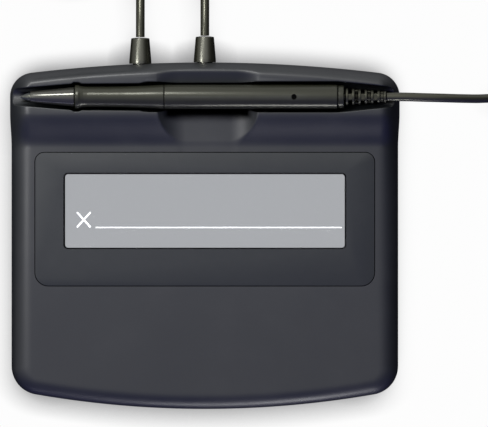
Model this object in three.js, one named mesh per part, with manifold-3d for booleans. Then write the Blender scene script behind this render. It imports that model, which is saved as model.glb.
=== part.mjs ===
// A desk signature pad with a tethered pen, in millimetres, +Z up.
// The origin is on the desk under the middle of the housing. +Y is towards the cables at the back.

import * as THREE from "three";
import { mergeVertices } from "three/addons/utils/BufferGeometryUtils.js";
import Module from "manifold-3d";

const wasm = await Module();
wasm.setup();

const degree = Math.PI / 180;
const quarterTurn = Math.PI / 2;

// Housing
const bodyWidth = 154.6;
const ridgeFlare = 0.6;
const depth = 138.6;
const frontBowRadius = 396;
const backBowRadius = 586;
const frontCornerRadius = 11.5;
const backCornerRadius = 9.5;
const frontHeight = 11;
const deckTilt = 2.5 * degree;
const wall = 2.2;
const partingHeight = 5.5;

// Ridge that carries the pen
const ridgeRise = 5.6;
const ridgeFootFromBack = 34;
const ridgeSlopeLength = 14;

// Rounding of the top cover's edge, as the width that it takes on each side
const sideRounding = 8;
const frontRounding = 6;
const backRounding = 4.6;
const innerRoundingShare = 0.5;

// Clearances, and how far a cutter runs past what it cuts
const gap = 0.3;
const stackGap = 0.2;
const fitGap = 0.25;
const overrun = 5;
const weldDistance = 0.0001;

// Bottom cover
const footHeight = 1.5;
const floorThickness = 2;
const bottomDraft = 0.7;
const bottomRounding = 3;
const tongueThickness = 1.2;
const tongueHeight = 1.1;
const rib = { thickness: 1.2, height: 2, length: 36, spacing: 24, fromMiddle: 48 };
const labelSeat = { width: 62, length: 26, cornerRadius: 2, recess: 0.3, fromFront: 46 };
const displayPost = { radius: 2, fromEnd: 6, fromEdge: 5.5 };

// Rubber feet
const foot = { radius: 5, bury: 0.8, edgeRadius: 0.7, fromSide: 17, fromFront: 17, fromBack: 16 };

// Screws
const caseScrew = { headRadius: 2.6, headHeight: 1.6, shankRadius: 1.4, shankLength: 6, slotWidth: 0.7,
  sunk: 0.2 };
const caseBoss = { radius: 3.4, height: 2.1, fromSide: 11.8, fromFront: 31, fromBack: 32 };
const boardScrew = { headRadius: 2.2, headHeight: 1.3, shankRadius: 1, shankLength: 3, slotWidth: 0.5 };
const screwShares = { crown: 0.7, crownRise: 0.35, slotDepth: 0.5 };

// Pen rest
const penFromBack = 13.9;
const penAxisHeight = 21;
const restDrop = 0.25;
const rest = { noseRadius: 5.45, lipRadius: 6, gripRadius: 5.45, barrelRadius: 5.45, collarRadius: 5.3,
  tailRadius: 4.2, outletRadius: 3.5, lipEase: 0.55, beforeLip: 0.4, lipLength: 3.2, runOut: 8 };
const nub = { fromMiddle: 24.2, halfLength: 2, bulge: 0.9, stand: 0.3, below: 0.9 };

// Finger scoop across the ridge
const scoop = { shift: 1.2, floorHalfWidth: 9, sideRadius: 13.4, backRadius: 6.6, floorLift: 0.15,
  backTop: 2.1, lowCornerRadius: 3, highCornerRadius: 6.4, frontRun: 6 };

// Display window and the film round it
const windowFromBack = 59.4;
const film = { width: 135.7, length: 53.4, thickness: 0.4, backCornerRadius: 3.8, frontCornerRadius: 5.4,
  aheadOfWindow: 3.3, proud: 0.05 };
const viewWindow = { width: 112, length: 29.6, cornerRadius: 1.6 };
const glass = { width: 124, length: 42, thickness: 1.1, cornerRadius: 1 };
const gasket = { border: 4, thickness: 0.5 };
const ledge = { border: 3, thickness: 1, inward: 4.2 };

// Liquid crystal display module
const lcdFrame = { width: 121, length: 39, thickness: 0.5, border: 3, cornerRadius: 0.8 };
const lcdPanel = { width: 118, length: 36, thickness: 1.2 };
const lightGuide = { width: 118, length: 36, thickness: 1.8 };
const lcdBoard = { width: 124, length: 43, thickness: 1.1 };

// Main board and what is on it
const board = { width: 100, length: 25, thickness: 1.6, fromBack: 9.5 };
const boardPost = { radius: 2.6, height: 2, inset: 4 };
const mainChip = { width: 12, length: 12, height: 1.6, fromMiddle: 17, fromFront: 12.5 };
const memoryChip = { width: 8, length: 5.4, height: 1.4, fromMiddle: -12.5, fromFront: 14 };
const crystalCan = { width: 4.6, length: 10.6, height: 3.4, fromMiddle: 32, fromFront: 17 };
const leadHeader = { width: 8, length: 5.6, height: 4.6, fromFront: 17 };
const ribbonSocket = { width: 26, length: 4.4, height: 2.4, fromMiddle: -28, fromFront: 4.6 };
const flexSocket = { width: 12, length: 4, height: 1.6, fromMiddle: 36, fromFront: 4.6 };
const ribbon = { width: 22, thickness: 0.3 };
const sensorFlex = { width: 9, thickness: 0.25, slotLength: 2 };

// Cable boots in the back wall
const boot = { height: 7.5, baseRadius: 4.4, tipRadius: 3.65, reach: 10.4, neckRadius: 3, flangeRadius: 3.6,
  flangeThickness: 1.6, tipChamfer: 0.35 };
const penBootX = 0;
const hostBootX = -25.8;

// Cords
const cordRadius = 1.75;
const leadRadius = 1.2;
const coilPitch = 4.02;
const hostCoilRadius = 27.2;
const hostCoil = { outerRadius: hostCoilRadius, turnsPerLayer: 3.25, layers: 4, y: 129,
  x: hostBootX - hostCoilRadius };
const penCoil = { outerRadius: 22.4, turnsPerLayer: 1.125, layers: 2, x: 120.6, y: 126 };

// Plug on the far end of the host cord
const plugGrip = { width: 15.6, height: 7.8, length: 19, cornerRadius: 2.2, reliefLength: 9,
  reliefRadius: 3.2, reliefTipRadius: 2.6 };
const plugShell = { width: 12, height: 4.5, length: 12, thickness: 0.3, bury: 3 };
const plugTongue = { width: 10.6, thickness: 1.8, setBack: 0.6 };

// Pen, from the tip of its nib to the end of its strain relief
const penShift = -0.5;
const nib = { reach: 3.8, tipRadius: 0.55, coneLength: 2.9, radius: 1.6, guideLength: 7.7,
  collarRadius: 2.05, collarLength: 1.2, stemRadius: 0.8, travel: 0.5 };
const nose = { length: 16.8, mouthRadius: 2.15, backRadius: 3.85 };
const grip = { length: 36.4, radius: 4.1, lipRadius: 4.75, lipLength: 1.6, lipEase: 3.6, swellLength: 24 };
const barrel = { length: 69.4, radius: 4.85, edgeRound: 0.3 };
const pinHole = { radius: 1.1, fromBack: 17.4 };
const endCollar = { length: 2.6, radius: 4.6 };
const relief = { length: 16.8, rings: 7, neckLength: 0.3, ringWidth: 1, frontRadius: 3.4, backRadius: 2.3,
  coreRadius: 1.95, webWidth: 2.4, webDrop: 0.3, boreDepth: 6 };
const penWall = 1;
const spigot = { length: 4, wall: 0.65 };
const tipSwitch = { length: 6, width: 3.9, height: 3.8, fromSpigot: 0.5 };
const penBoard = { length: 44, width: 3.6, height: 0.8 };
const nibSpring = { turns: 5, radius: 1.4, wireRadius: 0.2 };
const nibTipShares = { flat: 0.6, round: 0.5 };
const lipShares = { start: 0.5, rise: 0.2, ease: 0.45, easeRadius: 0.42 };
const swellShares = [[0.35, 0.12], [0.7, 0.5]];

// Fineness of round surfaces
const sides = { round: 16, small: 8, pen: 20, rest: 28, relief: 14, cord: 8, coil: 6, wire: 5 };
const coilStepsPerTurn = 24;
const cordStepDiameters = 2.5;
const springStepsPerTurn = 8;
const bowSteps = 5;
const cornerSteps = 5;
const slopeSteps = 7;
const roundingSteps = 5;
const undersideSteps = 2;
const scoopSteps = 6;

// Materials
const surface = (color, roughness, metalness = 0) =>
  new THREE.MeshStandardMaterial({ color, roughness, metalness });
const charcoalPlastic = surface(0x404244, 0.55);
const filmPlastic = surface(0x434548, 0.5);
const clearGlass = surface(0xc8ced2, 0.08);
const displayGrey = surface(0xacadb1, 0.4);
const blackFoam = surface(0x1b1b1d, 0.95);
const tinPlate = surface(0xb7b9bc, 0.35, 1);
const clearGuide = surface(0xe8ecef, 0.3);
const boardGreen = surface(0x1f5a38, 0.5);
const chipBlack = surface(0x18191b, 0.5);
const socketWhite = surface(0xe6e2d6, 0.6);
const flexAmber = surface(0xa86a1c, 0.4);
const blackRubber = surface(0x1c1c1e, 0.85);
const zincSteel = surface(0x9a9ca0, 0.35, 1);
const cordSheath = surface(0x3f4037, 0.45);
const penPaint = surface(0x4b4b40, 0.35, 0.5);
const nosePaint = surface(0x55554e, 0.2, 0.7);
const nibPlastic = surface(0x4c5055, 0.4);
const plugBlack = surface(0x222326, 0.6);

// Places and heights that follow from the sizes above
const clamp = (value) => Math.min(Math.max(value, 0), 1);
const smooth = (share) => clamp(share) ** 2 * (3 - 2 * clamp(share));
const backY = depth / 2;
const ridgeFootY = backY - ridgeFootFromBack;
const ridgeShare = (y) => smooth((y - ridgeFootY) / ridgeSlopeLength);
const deckHeight = (y) => frontHeight + Math.tan(deckTilt) * (y + backY);
const topHeight = (y) => deckHeight(y) + ridgeRise * ridgeShare(y);
const ridgeWidth = bodyWidth + 2 * ridgeFlare;
const halfWidthAt = (y) => bodyWidth / 2 + ridgeFlare * ridgeShare(y);
const floorTop = footHeight + floorThickness;
const coverBase = partingHeight + gap / 2;
const penY = backY - penFromBack;
const windowY = backY - windowFromBack;

// The back wall's outer face, and the tip of a boot in it
const wallY = (x) => backY - backBowRadius + Math.sqrt(backBowRadius ** 2 - x ** 2);
const bootTipY = (x) => wallY(x) + boot.reach;

// Places along the pen, from the nib's tip
const gripStart = nib.reach + nose.length;
const barrelStart = gripStart + grip.length;
const collarStart = barrelStart + barrel.length;
const reliefStart = collarStart + endCollar.length;
const penLength = reliefStart + relief.length;
const penStartX = penShift - penLength / 2;

// Heights in the display's own frame, which lies on the deck and is tilted with it
const filmTop = film.proud;
const glassTop = filmTop - film.thickness - stackGap;
const gasketTop = glassTop - glass.thickness - stackGap;
const ledgeTop = gasketTop - gasket.thickness - stackGap;
const ledgeBottom = ledgeTop - ledge.thickness;
const lcdFrameTop = ledgeBottom - stackGap;
const lcdPanelTop = lcdFrameTop - lcdFrame.thickness - stackGap;
const lightGuideTop = lcdPanelTop - lcdPanel.thickness - stackGap;
const lcdBoardTop = lightGuideTop - lightGuide.thickness - stackGap;
const lcdBoardBottom = lcdBoardTop - lcdBoard.thickness;
const deckFrame = new THREE.Matrix4().makeRotationX(deckTilt).setPosition(0, windowY, deckHeight(windowY));
const fromDeck = (y, z) => new THREE.Vector3(0, y, z).applyMatrix4(deckFrame);

// Main board
const boardFront = backY - board.fromBack - board.length;
const boardBottom = floorTop + boardPost.height + stackGap;
const boardTop = boardBottom + board.thickness;

// Places that repeat on both sides
const bothSides = (places) => [-1, 1].flatMap((side) => places.map(({ x, y }) => ({ x: side * x, y })));
const caseBossPlaces = bothSides([
  { x: bodyWidth / 2 - caseBoss.fromSide, y: -backY + caseBoss.fromFront },
  { x: bodyWidth / 2 - caseBoss.fromSide, y: backY - caseBoss.fromBack },
]);
const footPlaces = bothSides([
  { x: bodyWidth / 2 - foot.fromSide, y: -backY + foot.fromFront },
  { x: bodyWidth / 2 - foot.fromSide, y: backY - foot.fromBack },
]);
const boardPostPlaces = bothSides([
  { x: board.width / 2 - boardPost.inset, y: boardFront + boardPost.inset },
  { x: board.width / 2 - boardPost.inset, y: boardFront + board.length - boardPost.inset },
]);
const displayPostPlaces = bothSides([
  { x: lcdBoard.width / 2 - displayPost.fromEnd, y: windowY - lcdBoard.length / 2 + displayPost.fromEdge },
  { x: lcdBoard.width / 2 - displayPost.fromEnd, y: windowY + lcdBoard.length / 2 - displayPost.fromEdge },
]);

// A closed mesh as a solid, with its faces turned out
function solidOf(geometry) {
  const bare = new THREE.BufferGeometry();
  bare.setAttribute("position", geometry.getAttribute("position"));
  bare.setIndex(geometry.index);
  const merged = mergeVertices(bare, weldDistance);
  const corners = merged.index.array;
  const faces = [];
  for (let i = 0; i < corners.length; i += 3) {
    const [a, b, c] = corners.slice(i, i + 3);
    if (a !== b && b !== c && c !== a) faces.push([a, b, c]);
  }
  const vertProperties = merged.attributes.position.array;
  const made = (list) => new wasm.Manifold(
    new wasm.Mesh({ numProp: 3, vertProperties, triVerts: new Uint32Array(list.flat()) }));
  const solid = made(faces);
  return solid.volume() > 0 ? solid : made(faces.map(([a, b, c]) => [a, c, b]));
}

function geometryOf(solid) {
  const mesh = solid.getMesh();
  const geometry = new THREE.BufferGeometry();
  geometry.setAttribute("position", new THREE.BufferAttribute(new Float32Array(mesh.vertProperties), 3));
  geometry.setIndex(new THREE.BufferAttribute(new Uint32Array(mesh.triVerts), 1));
  const faceted = geometry.toNonIndexed();
  faceted.computeVertexNormals();
  return faceted;
}

const joined = (first, ...others) => others.reduce((whole, next) => whole.add(next), first);
const cut = (first, ...others) => others.reduce((rest, next) => rest.subtract(next), first);
const placed = (solid, matrix) => solidOf(geometryOf(solid).applyMatrix4(matrix));
const moved = (solid, x, y, z) => placed(solid, new THREE.Matrix4().makeTranslation(x, y, z));

// A named piece of a group, from a solid, at a place in that group
function piece(name, solid, material, place = [0, 0, 0]) {
  const mesh = new THREE.Mesh(geometryOf(solid), material);
  mesh.name = name;
  mesh.position.set(...place);
  return mesh;
}

// A box that stands on its middle
function block(width, length, height, x = 0, y = 0, bottom = 0) {
  return solidOf(new THREE.BoxGeometry(width, length, height).translate(x, y, bottom + height / 2));
}

function post(radius, bottom, top, x = 0, y = 0, count = sides.small) {
  const upright = new THREE.CylinderGeometry(radius, radius, top - bottom, count).rotateX(quarterTurn);
  return solidOf(upright.translate(x, y, (bottom + top) / 2));
}

// A profile of [place along the axis, radius] pairs, turned round an axis
function turned(profile, axis = "x", count = sides.round) {
  const closed = profile[0][1] === 0 ? profile : [...profile, profile[0]];
  const points = closed.map(([along, radius]) => new THREE.Vector2(radius, along));
  const lathe = new THREE.LatheGeometry(points, count);
  if (axis === "x") lathe.rotateZ(-quarterTurn);
  if (axis === "z") lathe.rotateX(quarterTurn);
  return solidOf(lathe);
}

// A rectangle with round corners, those at the back and those at the front set apart
function roundedRectangle(width, length, backRadius, frontRadius = backRadius) {
  const [x, y] = [width / 2, length / 2];
  const shape = new THREE.Shape();
  shape.absarc(x - frontRadius, -y + frontRadius, frontRadius, -quarterTurn, 0);
  shape.absarc(x - backRadius, y - backRadius, backRadius, 0, quarterTurn);
  shape.absarc(-x + backRadius, y - backRadius, backRadius, quarterTurn, 2 * quarterTurn);
  shape.absarc(-x + frontRadius, -y + frontRadius, frontRadius, 2 * quarterTurn, 3 * quarterTurn);
  shape.closePath();
  return shape;
}

function plate(shape, bottom, thickness) {
  const options = { depth: thickness, bevelEnabled: false, curveSegments: 5 };
  return solidOf(new THREE.ExtrudeGeometry(shape, options).translate(0, 0, bottom));
}

// A thin strip that is as wide as said along X, and follows [y, z] points
function strip(points, thickness, width, x) {
  const line = points.map(([y, z]) => new THREE.Vector2(y, z));
  const edge = (sign) => line.map((point, i) => {
    const before = line[Math.max(i - 1, 0)];
    const after = line[Math.min(i + 1, line.length - 1)];
    const along = after.clone().sub(before).normalize();
    return new THREE.Vector2(-along.y, along.x).multiplyScalar((sign * thickness) / 2).add(point);
  });
  const section = new THREE.Shape([...edge(-1), ...edge(1).reverse()]);
  const geometry = new THREE.ExtrudeGeometry(section, { depth: width, bevelEnabled: false });
  const upright = new THREE.Matrix4().makeBasis(
    new THREE.Vector3(0, 1, 0), new THREE.Vector3(0, 0, 1), new THREE.Vector3(1, 0, 0));
  return moved(solidOf(geometry.applyMatrix4(upright)), x - width / 2, 0, 0);
}

// A solid through half rings that run from the middle of the front, round the right, to the back's middle.
// The left half mirrors them, and strips from right to left close the first and the last ring.
function lofted(halfRings) {
  const count = halfRings[0].length;
  const size = 2 * count - 2;
  const positions = [];
  for (const ring of halfRings) {
    ring.forEach(({ x, y, z }) => positions.push(x, y, z));
    for (let i = count - 2; i > 0; i--) positions.push(-ring[i].x, ring[i].y, ring[i].z);
  }
  const index = [];
  const quad = (a, b, c, d) => index.push(a, b, c, a, c, d);
  for (let k = 0; k < halfRings.length - 1; k++) {
    for (let i = 0; i < size; i++) {
      const next = (i + 1) % size;
      quad(k * size + i, k * size + next, (k + 1) * size + next, (k + 1) * size + i);
    }
  }
  const last = (halfRings.length - 1) * size;
  for (let i = 0; i < count - 1; i++) {
    const [right, nextRight] = [i, i + 1];
    const [left, nextLeft] = [(size - i) % size, size - i - 1];
    quad(right, left, nextLeft, nextRight);
    quad(last + right, last + nextRight, last + nextLeft, last + left);
  }
  const geometry = new THREE.BufferGeometry();
  geometry.setAttribute("position", new THREE.Float32BufferAttribute(positions, 3));
  geometry.setIndex(index);
  return solidOf(geometry);
}

// The right half of the housing's outline from front to back, with its outward direction at each point
function housingHalf() {
  const end = (half, radius, bowRadius, sign) => {
    const x = half - radius;
    const y = backY - bowRadius + Math.sqrt((bowRadius - radius) ** 2 - x ** 2);
    const cornerAngle = Math.asin(x / (bowRadius - radius));
    const bow = Array.from({ length: bowSteps }, (_, i) => {
      const angle = (cornerAngle * i) / bowSteps;
      const [nx, ny] = [Math.sin(angle), Math.cos(angle)];
      return { x: bowRadius * nx, y: sign * (backY - bowRadius * (1 - ny)), nx, ny: sign * ny };
    });
    const corner = Array.from({ length: cornerSteps + 1 }, (_, i) => {
      const angle = cornerAngle + ((quarterTurn - cornerAngle) * i) / cornerSteps;
      const [nx, ny] = [Math.sin(angle), sign * Math.cos(angle)];
      return { x: x + radius * nx, y: sign * y + radius * ny, nx, ny };
    });
    return [...bow, ...corner];
  };
  const slope = Array.from({ length: slopeSteps }, (_, i) => {
    const y = ridgeFootY + (ridgeSlopeLength * i) / slopeSteps;
    return { x: halfWidthAt(y), y, nx: 1, ny: 0 };
  });
  return [
    ...end(bodyWidth / 2, frontCornerRadius, frontBowRadius, -1),
    ...slope,
    ...end(ridgeWidth / 2, backCornerRadius, backBowRadius, 1).reverse(),
  ];
}

const outline = housingHalf();
const inset = (point, distance) => ({ x: point.x - point.nx * distance, y: point.y - point.ny * distance });
const flatRing = (distance, z) => outline.map((point) => ({ ...inset(point, distance), z }));

// The rounded body under the top surface: the whole of it, or what is inside a wall
function roundedBody(walls = 0) {
  const rings = walls ? [flatRing(walls, coverBase - overrun)] : [];
  for (let k = 0; k <= roundingSteps; k++) {
    const angle = (quarterTurn * k) / roundingSteps;
    rings.push(outline.map((point) => {
      const endRounding = point.ny < 0 ? frontRounding : backRounding;
      const full = sideRounding * point.nx ** 2 + endRounding * point.ny ** 2;
      const rounding = walls ? full * innerRoundingShare : full;
      const at = inset(point, walls + rounding * (1 - Math.cos(angle)));
      return { ...at, z: coverBase + (topHeight(at.y) - walls - coverBase) * Math.sin(angle) };
    }));
  }
  return lofted(rings);
}

// The groove's radius along the pen: it follows the pen, with a wider ring round the lip of the grip
const restLipStart = penStartX + gripStart - rest.beforeLip;
const restLipEnd = restLipStart + rest.lipLength;
const restStations = [
  [penStartX - rest.runOut, rest.noseRadius],
  [restLipStart - rest.lipEase, rest.noseRadius],
  [restLipStart, rest.lipRadius],
  [restLipEnd, rest.lipRadius],
  [restLipEnd + rest.lipEase, rest.gripRadius],
  [penStartX + barrelStart, rest.barrelRadius],
  [penStartX + collarStart, rest.barrelRadius],
  [penStartX + reliefStart, rest.collarRadius],
  [penStartX + penLength, rest.tailRadius],
  [penStartX + penLength + rest.runOut, rest.outletRadius],
];

function restRadiusAt(x) {
  const i = restStations.findIndex(([at]) => at > x);
  const [[lowX, low], [highX, high]] = [restStations[i - 1], restStations[i]];
  return low + ((high - low) * (x - lowX)) / (highX - lowX);
}

// The groove that the pen lies in, open through both sides, or with a wall the body round it
function penRest(walls = 0) {
  const across = ridgeWidth / 2 + overrun;
  const grooves = [
    restStations,
    [[-across, rest.outletRadius], [across, rest.outletRadius]],
  ].map((stations) => {
    const profile = stations.map(([x, radius]) => [x, radius + walls]);
    return turned([[profile[0][0], 0], ...profile, [profile.at(-1)[0], 0]], "x", sides.rest);
  });
  return moved(joined(...grooves), 0, penY, penAxisHeight + restDrop);
}

// Small bumps that narrow the groove at its lips
function nubs() {
  const z = topHeight(penY) - nub.below;
  return [-1, 1].flatMap((end) => [-1, 1].map((side) => {
    const reach = restRadiusAt(end * nub.fromMiddle) + nub.bulge - nub.stand;
    const ball = new THREE.SphereGeometry(1, 8, 6).scale(nub.halfLength, nub.bulge, nub.bulge);
    return solidOf(ball.translate(end * nub.fromMiddle, penY + side * reach, z));
  }));
}

// The finger scoop: level slices that widen with height as quarter rounds do
function fingerScoop(walls = 0) {
  const lipRise = topHeight(penY) - deckHeight(penY);
  const backFoot = backY - scoop.backTop - scoop.backRadius;
  const frontY = ridgeFootY - scoop.frontRun;
  const slice = (rise, z) => {
    const flare = (radius) => {
      const within = Math.min(rise, radius);
      return Math.sqrt(2 * radius * within - within ** 2);
    };
    const half = scoop.floorHalfWidth + flare(scoop.sideRadius) + walls;
    const back = backFoot + flare(scoop.backRadius) + walls;
    const grown = (scoop.highCornerRadius - scoop.lowCornerRadius) * (rise / lipRise);
    const radius = scoop.lowCornerRadius + grown + walls;
    const corner = Array.from({ length: cornerSteps + 1 }, (_, i) => {
      const angle = (quarterTurn * i) / cornerSteps;
      const [out, up] = [Math.cos(angle) - 1, Math.sin(angle) - 1];
      return { x: half + radius * out, y: back + radius * up };
    });
    const ring = [{ x: 0, y: frontY }, { x: half, y: frontY }, ...corner, { x: 0, y: back }];
    return ring.map(({ x, y }) => ({ x, y, z: deckHeight(y) + scoop.floorLift + z - walls }));
  };
  const rises = Array.from({ length: scoopSteps + 1 }, (_, k) => lipRise * (k / scoopSteps) ** 2);
  const rings = [...rises.map((rise) => slice(rise, rise)), slice(lipRise, lipRise + overrun + walls)];
  return moved(lofted(rings), scoop.shift, 0, 0);
}

// The pocket for the film, the pocket for the glass, the hole under them, and the slot for the sensor's flex
function displayPockets() {
  const filmOutline = roundedRectangle(
    film.width + 2 * stackGap, film.length + 2 * stackGap,
    film.backCornerRadius + stackGap, film.frontCornerRadius + stackGap);
  const glassOutline = roundedRectangle(
    glass.width + 2 * gap, glass.length + 2 * gap, glass.cornerRadius + gap);
  const hole = block(
    glass.width - 2 * ledge.inward, glass.length - 2 * ledge.inward, overrun,
    0, 0, ledgeTop + gap - overrun);
  const slot = block(
    sensorFlex.width + 2 * gap, sensorFlex.slotLength + gap, overrun,
    flexSocket.fromMiddle, (glass.length + sensorFlex.slotLength + gap) / 2, glassTop - overrun);
  return [
    moved(plate(filmOutline, glassTop, overrun), 0, -film.aheadOfWindow, 0),
    plate(glassOutline, ledgeTop, glassTop - ledgeTop + stackGap),
    hole,
    slot,
  ].map((pocket) => placed(pocket, deckFrame));
}

// The passage for a boot: a hole for its neck, and room behind the wall for its flange
function bootPassage(x) {
  const inside = wallY(x) - wall - gap;
  const bore = turned([
    [-overrun, 0],
    [-overrun, boot.flangeRadius + gap],
    [0, boot.flangeRadius + gap],
    [0, boot.neckRadius + gap],
    [overrun, boot.neckRadius + gap],
    [overrun, 0],
  ], "y");
  return moved(bore, x, inside, boot.height);
}

function topCover() {
  const ledgeBlock = block(
    glass.width + 2 * ledge.border, glass.length + 2 * ledge.border, overrun * 2, 0, 0, ledgeBottom);
  const hollow = cut(roundedBody(wall), penRest(wall), fingerScoop(wall), placed(ledgeBlock, deckFrame));
  const bosses = caseBossPlaces.map(({ x, y }) => post(
    caseBoss.radius, floorTop + caseBoss.height + gap, topHeight(y) - wall / 2, x, y));
  const pilots = caseBossPlaces.map(({ x, y }) => post(
    caseScrew.shankRadius + fitGap, floorTop, topHeight(y) - wall, x, y));
  const shell = joined(cut(roundedBody(), hollow), ...bosses);
  const opened = cut(shell, ...pilots, penRest(), fingerScoop(), ...displayPockets());
  return cut(joined(opened, ...nubs()), bootPassage(penBootX), bootPassage(hostBootX));
}

function bottomCover() {
  const seam = partingHeight - gap / 2;
  const tongueTop = partingHeight + tongueHeight;
  const tongueInset = wall + gap;
  const rings = [flatRing(0, seam)];
  for (let k = 0; k <= undersideSteps; k++) {
    const angle = (quarterTurn * k) / undersideSteps;
    const distance = bottomDraft + bottomRounding * (1 - Math.cos(angle));
    rings.push(flatRing(distance, footHeight + bottomRounding * (1 - Math.sin(angle))));
  }
  const inside = tongueInset + tongueThickness;
  const tongue = lofted([flatRing(tongueInset, floorTop), flatRing(tongueInset, tongueTop)]);
  const room = lofted([flatRing(inside, floorTop), flatRing(inside, tongueTop + overrun)]);
  const tray = cut(joined(lofted(rings), tongue), room);

  const sunk = floorTop - floorThickness / 2;
  const ribY = -backY + caseBoss.fromFront;
  const ribCount = Math.round((2 * rib.fromMiddle) / rib.spacing);
  const ribs = Array.from({ length: ribCount + 1 }, (_, i) => block(
    rib.thickness, rib.length, floorTop + rib.height - sunk, -rib.fromMiddle + i * rib.spacing, ribY, sunk));
  const crossRib = block(2 * rib.fromMiddle, rib.thickness, floorTop + rib.height - sunk, 0, ribY, sunk);
  const collars = caseBossPlaces.map(({ x, y }) => post(
    caseBoss.radius, sunk, floorTop + caseBoss.height, x, y));
  const boardPosts = boardPostPlaces.map(({ x, y }) => post(
    boardPost.radius, sunk, floorTop + boardPost.height, x, y));
  const displayPosts = displayPostPlaces.map(({ x, y }) => post(
    displayPost.radius, sunk, deckHeight(y) + lcdBoardBottom - gap, x, y));
  const whole = joined(tray, ...ribs, crossRib, ...collars, ...boardPosts, ...displayPosts);

  const seatTop = footHeight + caseScrew.sunk + caseScrew.headHeight + fitGap;
  const screwHoles = caseBossPlaces.flatMap(({ x, y }) => [
    post(caseScrew.shankRadius + fitGap, 0, floorTop + overrun, x, y),
    post(caseScrew.headRadius + fitGap, 0, seatTop, x, y, sides.round),
  ]);
  const postHoles = boardPostPlaces.map(({ x, y }) => post(
    boardScrew.shankRadius + fitGap, sunk, floorTop + overrun, x, y));
  const footSeats = footPlaces.map(({ x, y }) => post(
    foot.radius + gap, 0, footHeight + foot.bury + stackGap, x, y, sides.round));
  const label = roundedRectangle(labelSeat.width, labelSeat.length, labelSeat.cornerRadius);
  const labelCut = moved(
    plate(label, 0, footHeight + labelSeat.recess), 0, -backY + labelSeat.fromFront, 0);
  return cut(
    whole, ...screwHoles, ...postHoles, ...footSeats, labelCut,
    bootPassage(penBootX), bootPassage(hostBootX));
}

function rubberFoot() {
  const { radius, edgeRadius, bury } = foot;
  const round = edgeRadius * (1 - Math.SQRT1_2);
  return turned([
    [0, 0],
    [0, radius - edgeRadius],
    [round, radius - round],
    [edgeRadius, radius],
    [footHeight + bury, radius],
    [footHeight + bury, 0],
  ], "z");
}

// A screw that stands on its head, which has a cross recess
function screw({ headRadius, headHeight, shankRadius, shankLength, slotWidth }) {
  const tip = headHeight + shankLength;
  const whole = turned([
    [0, 0],
    [0, headRadius * screwShares.crown],
    [headHeight * screwShares.crownRise, headRadius],
    [headHeight, headRadius],
    [headHeight, shankRadius],
    [tip - shankRadius, shankRadius],
    [tip, 0],
  ], "z", sides.small);
  const slotDepth = headHeight * screwShares.slotDepth;
  const arm = (width, length) => block(width, length, 2 * slotDepth, 0, 0, -slotDepth);
  return cut(whole, arm(slotWidth, headRadius), arm(headRadius, slotWidth));
}

// A boot along +Y: a flange inside the wall, a neck through it, and a tapered nose outside.
// Its origin is on the wall's outer face.
function cableBoot() {
  const inner = -wall - 2 * gap;
  const { baseRadius, tipRadius, reach, neckRadius, flangeRadius, flangeThickness, tipChamfer } = boot;
  return turned([
    [inner - flangeThickness, 0],
    [inner - flangeThickness, flangeRadius],
    [inner, flangeRadius],
    [inner, neckRadius],
    [gap, neckRadius],
    [gap, baseRadius],
    [reach - tipChamfer, tipRadius],
    [reach, tipRadius - tipChamfer],
    [reach, 0],
  ], "y");
}

// Pieces of the display
function filmFrame() {
  const outer = roundedRectangle(film.width, film.length, film.backCornerRadius, film.frontCornerRadius);
  const opening = roundedRectangle(viewWindow.width, viewWindow.length, viewWindow.cornerRadius);
  const sheet = plate(outer, filmTop - film.thickness, film.thickness);
  const middle = moved(plate(opening, filmTop - overrun, 2 * overrun), 0, film.aheadOfWindow, 0);
  return cut(sheet, middle);
}

function sheetFrame(width, length, border, top, thickness, cornerRadius) {
  const outer = plate(roundedRectangle(width, length, cornerRadius), top - thickness, thickness);
  const opening = block(width - 2 * border, length - 2 * border, 2 * overrun, 0, 0, top - overrun);
  return cut(outer, opening);
}

function sheet({ width, length, thickness }, top) {
  return block(width, length, thickness, 0, 0, top - thickness);
}

// The main board with its screw holes, and the things that stand on it
function mainBoard() {
  const middle = boardFront + board.length / 2;
  const holes = boardPostPlaces.map(({ x, y }) => post(
    boardScrew.shankRadius + fitGap, floorTop, boardTop + overrun, x, y));
  return cut(block(board.width, board.length, board.thickness, 0, middle, boardBottom), ...holes);
}

const onBoard = ({ width, length, height, fromFront }, x) =>
  block(width, length, height, x, boardFront + fromFront, boardTop + stackGap);

// Flat leads from the display to the board
function displayRibbon() {
  const start = fromDeck(lcdBoard.length / 2 + gap, lcdBoardTop - lcdBoard.thickness / 2);
  const endY = boardFront + ribbonSocket.fromFront - ribbonSocket.length / 2 - gap;
  const endZ = boardTop + stackGap + ribbonSocket.height / 2;
  const bend = (endY - start.y) / 4;
  return strip(
    [[start.y, start.z], [start.y + bend, start.z], [endY - 2 * bend, endZ], [endY, endZ]],
    ribbon.thickness, ribbon.width, ribbonSocket.fromMiddle);
}

function sensorFlexLead() {
  const edge = fromDeck(glass.length / 2 + gap, glassTop - glass.thickness / 2);
  const drop = fromDeck((glass.length + sensorFlex.slotLength) / 2, ledgeBottom);
  const endY = boardFront + flexSocket.fromFront - flexSocket.length / 2 - gap;
  const endZ = boardTop + stackGap + flexSocket.height / 2;
  const points = [
    [edge.y, edge.z],
    [drop.y - gap, edge.z],
    [drop.y, edge.z - 2 * gap],
    [drop.y, drop.z],
    [endY - 2 * gap, endZ],
    [endY, endZ],
  ];
  return strip(points, sensorFlex.thickness, sensorFlex.width, flexSocket.fromMiddle);
}

// Pieces of the pen, all along +X from the nib's tip
const gripBore = grip.radius - penWall;
const spigotRadius = gripBore - fitGap;
const spigotBore = spigotRadius - spigot.wall;
const switchStart = gripStart + spigot.length + tipSwitch.fromSpigot;
const nibCollarEnd = nib.reach + nib.guideLength + nib.collarLength;

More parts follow.
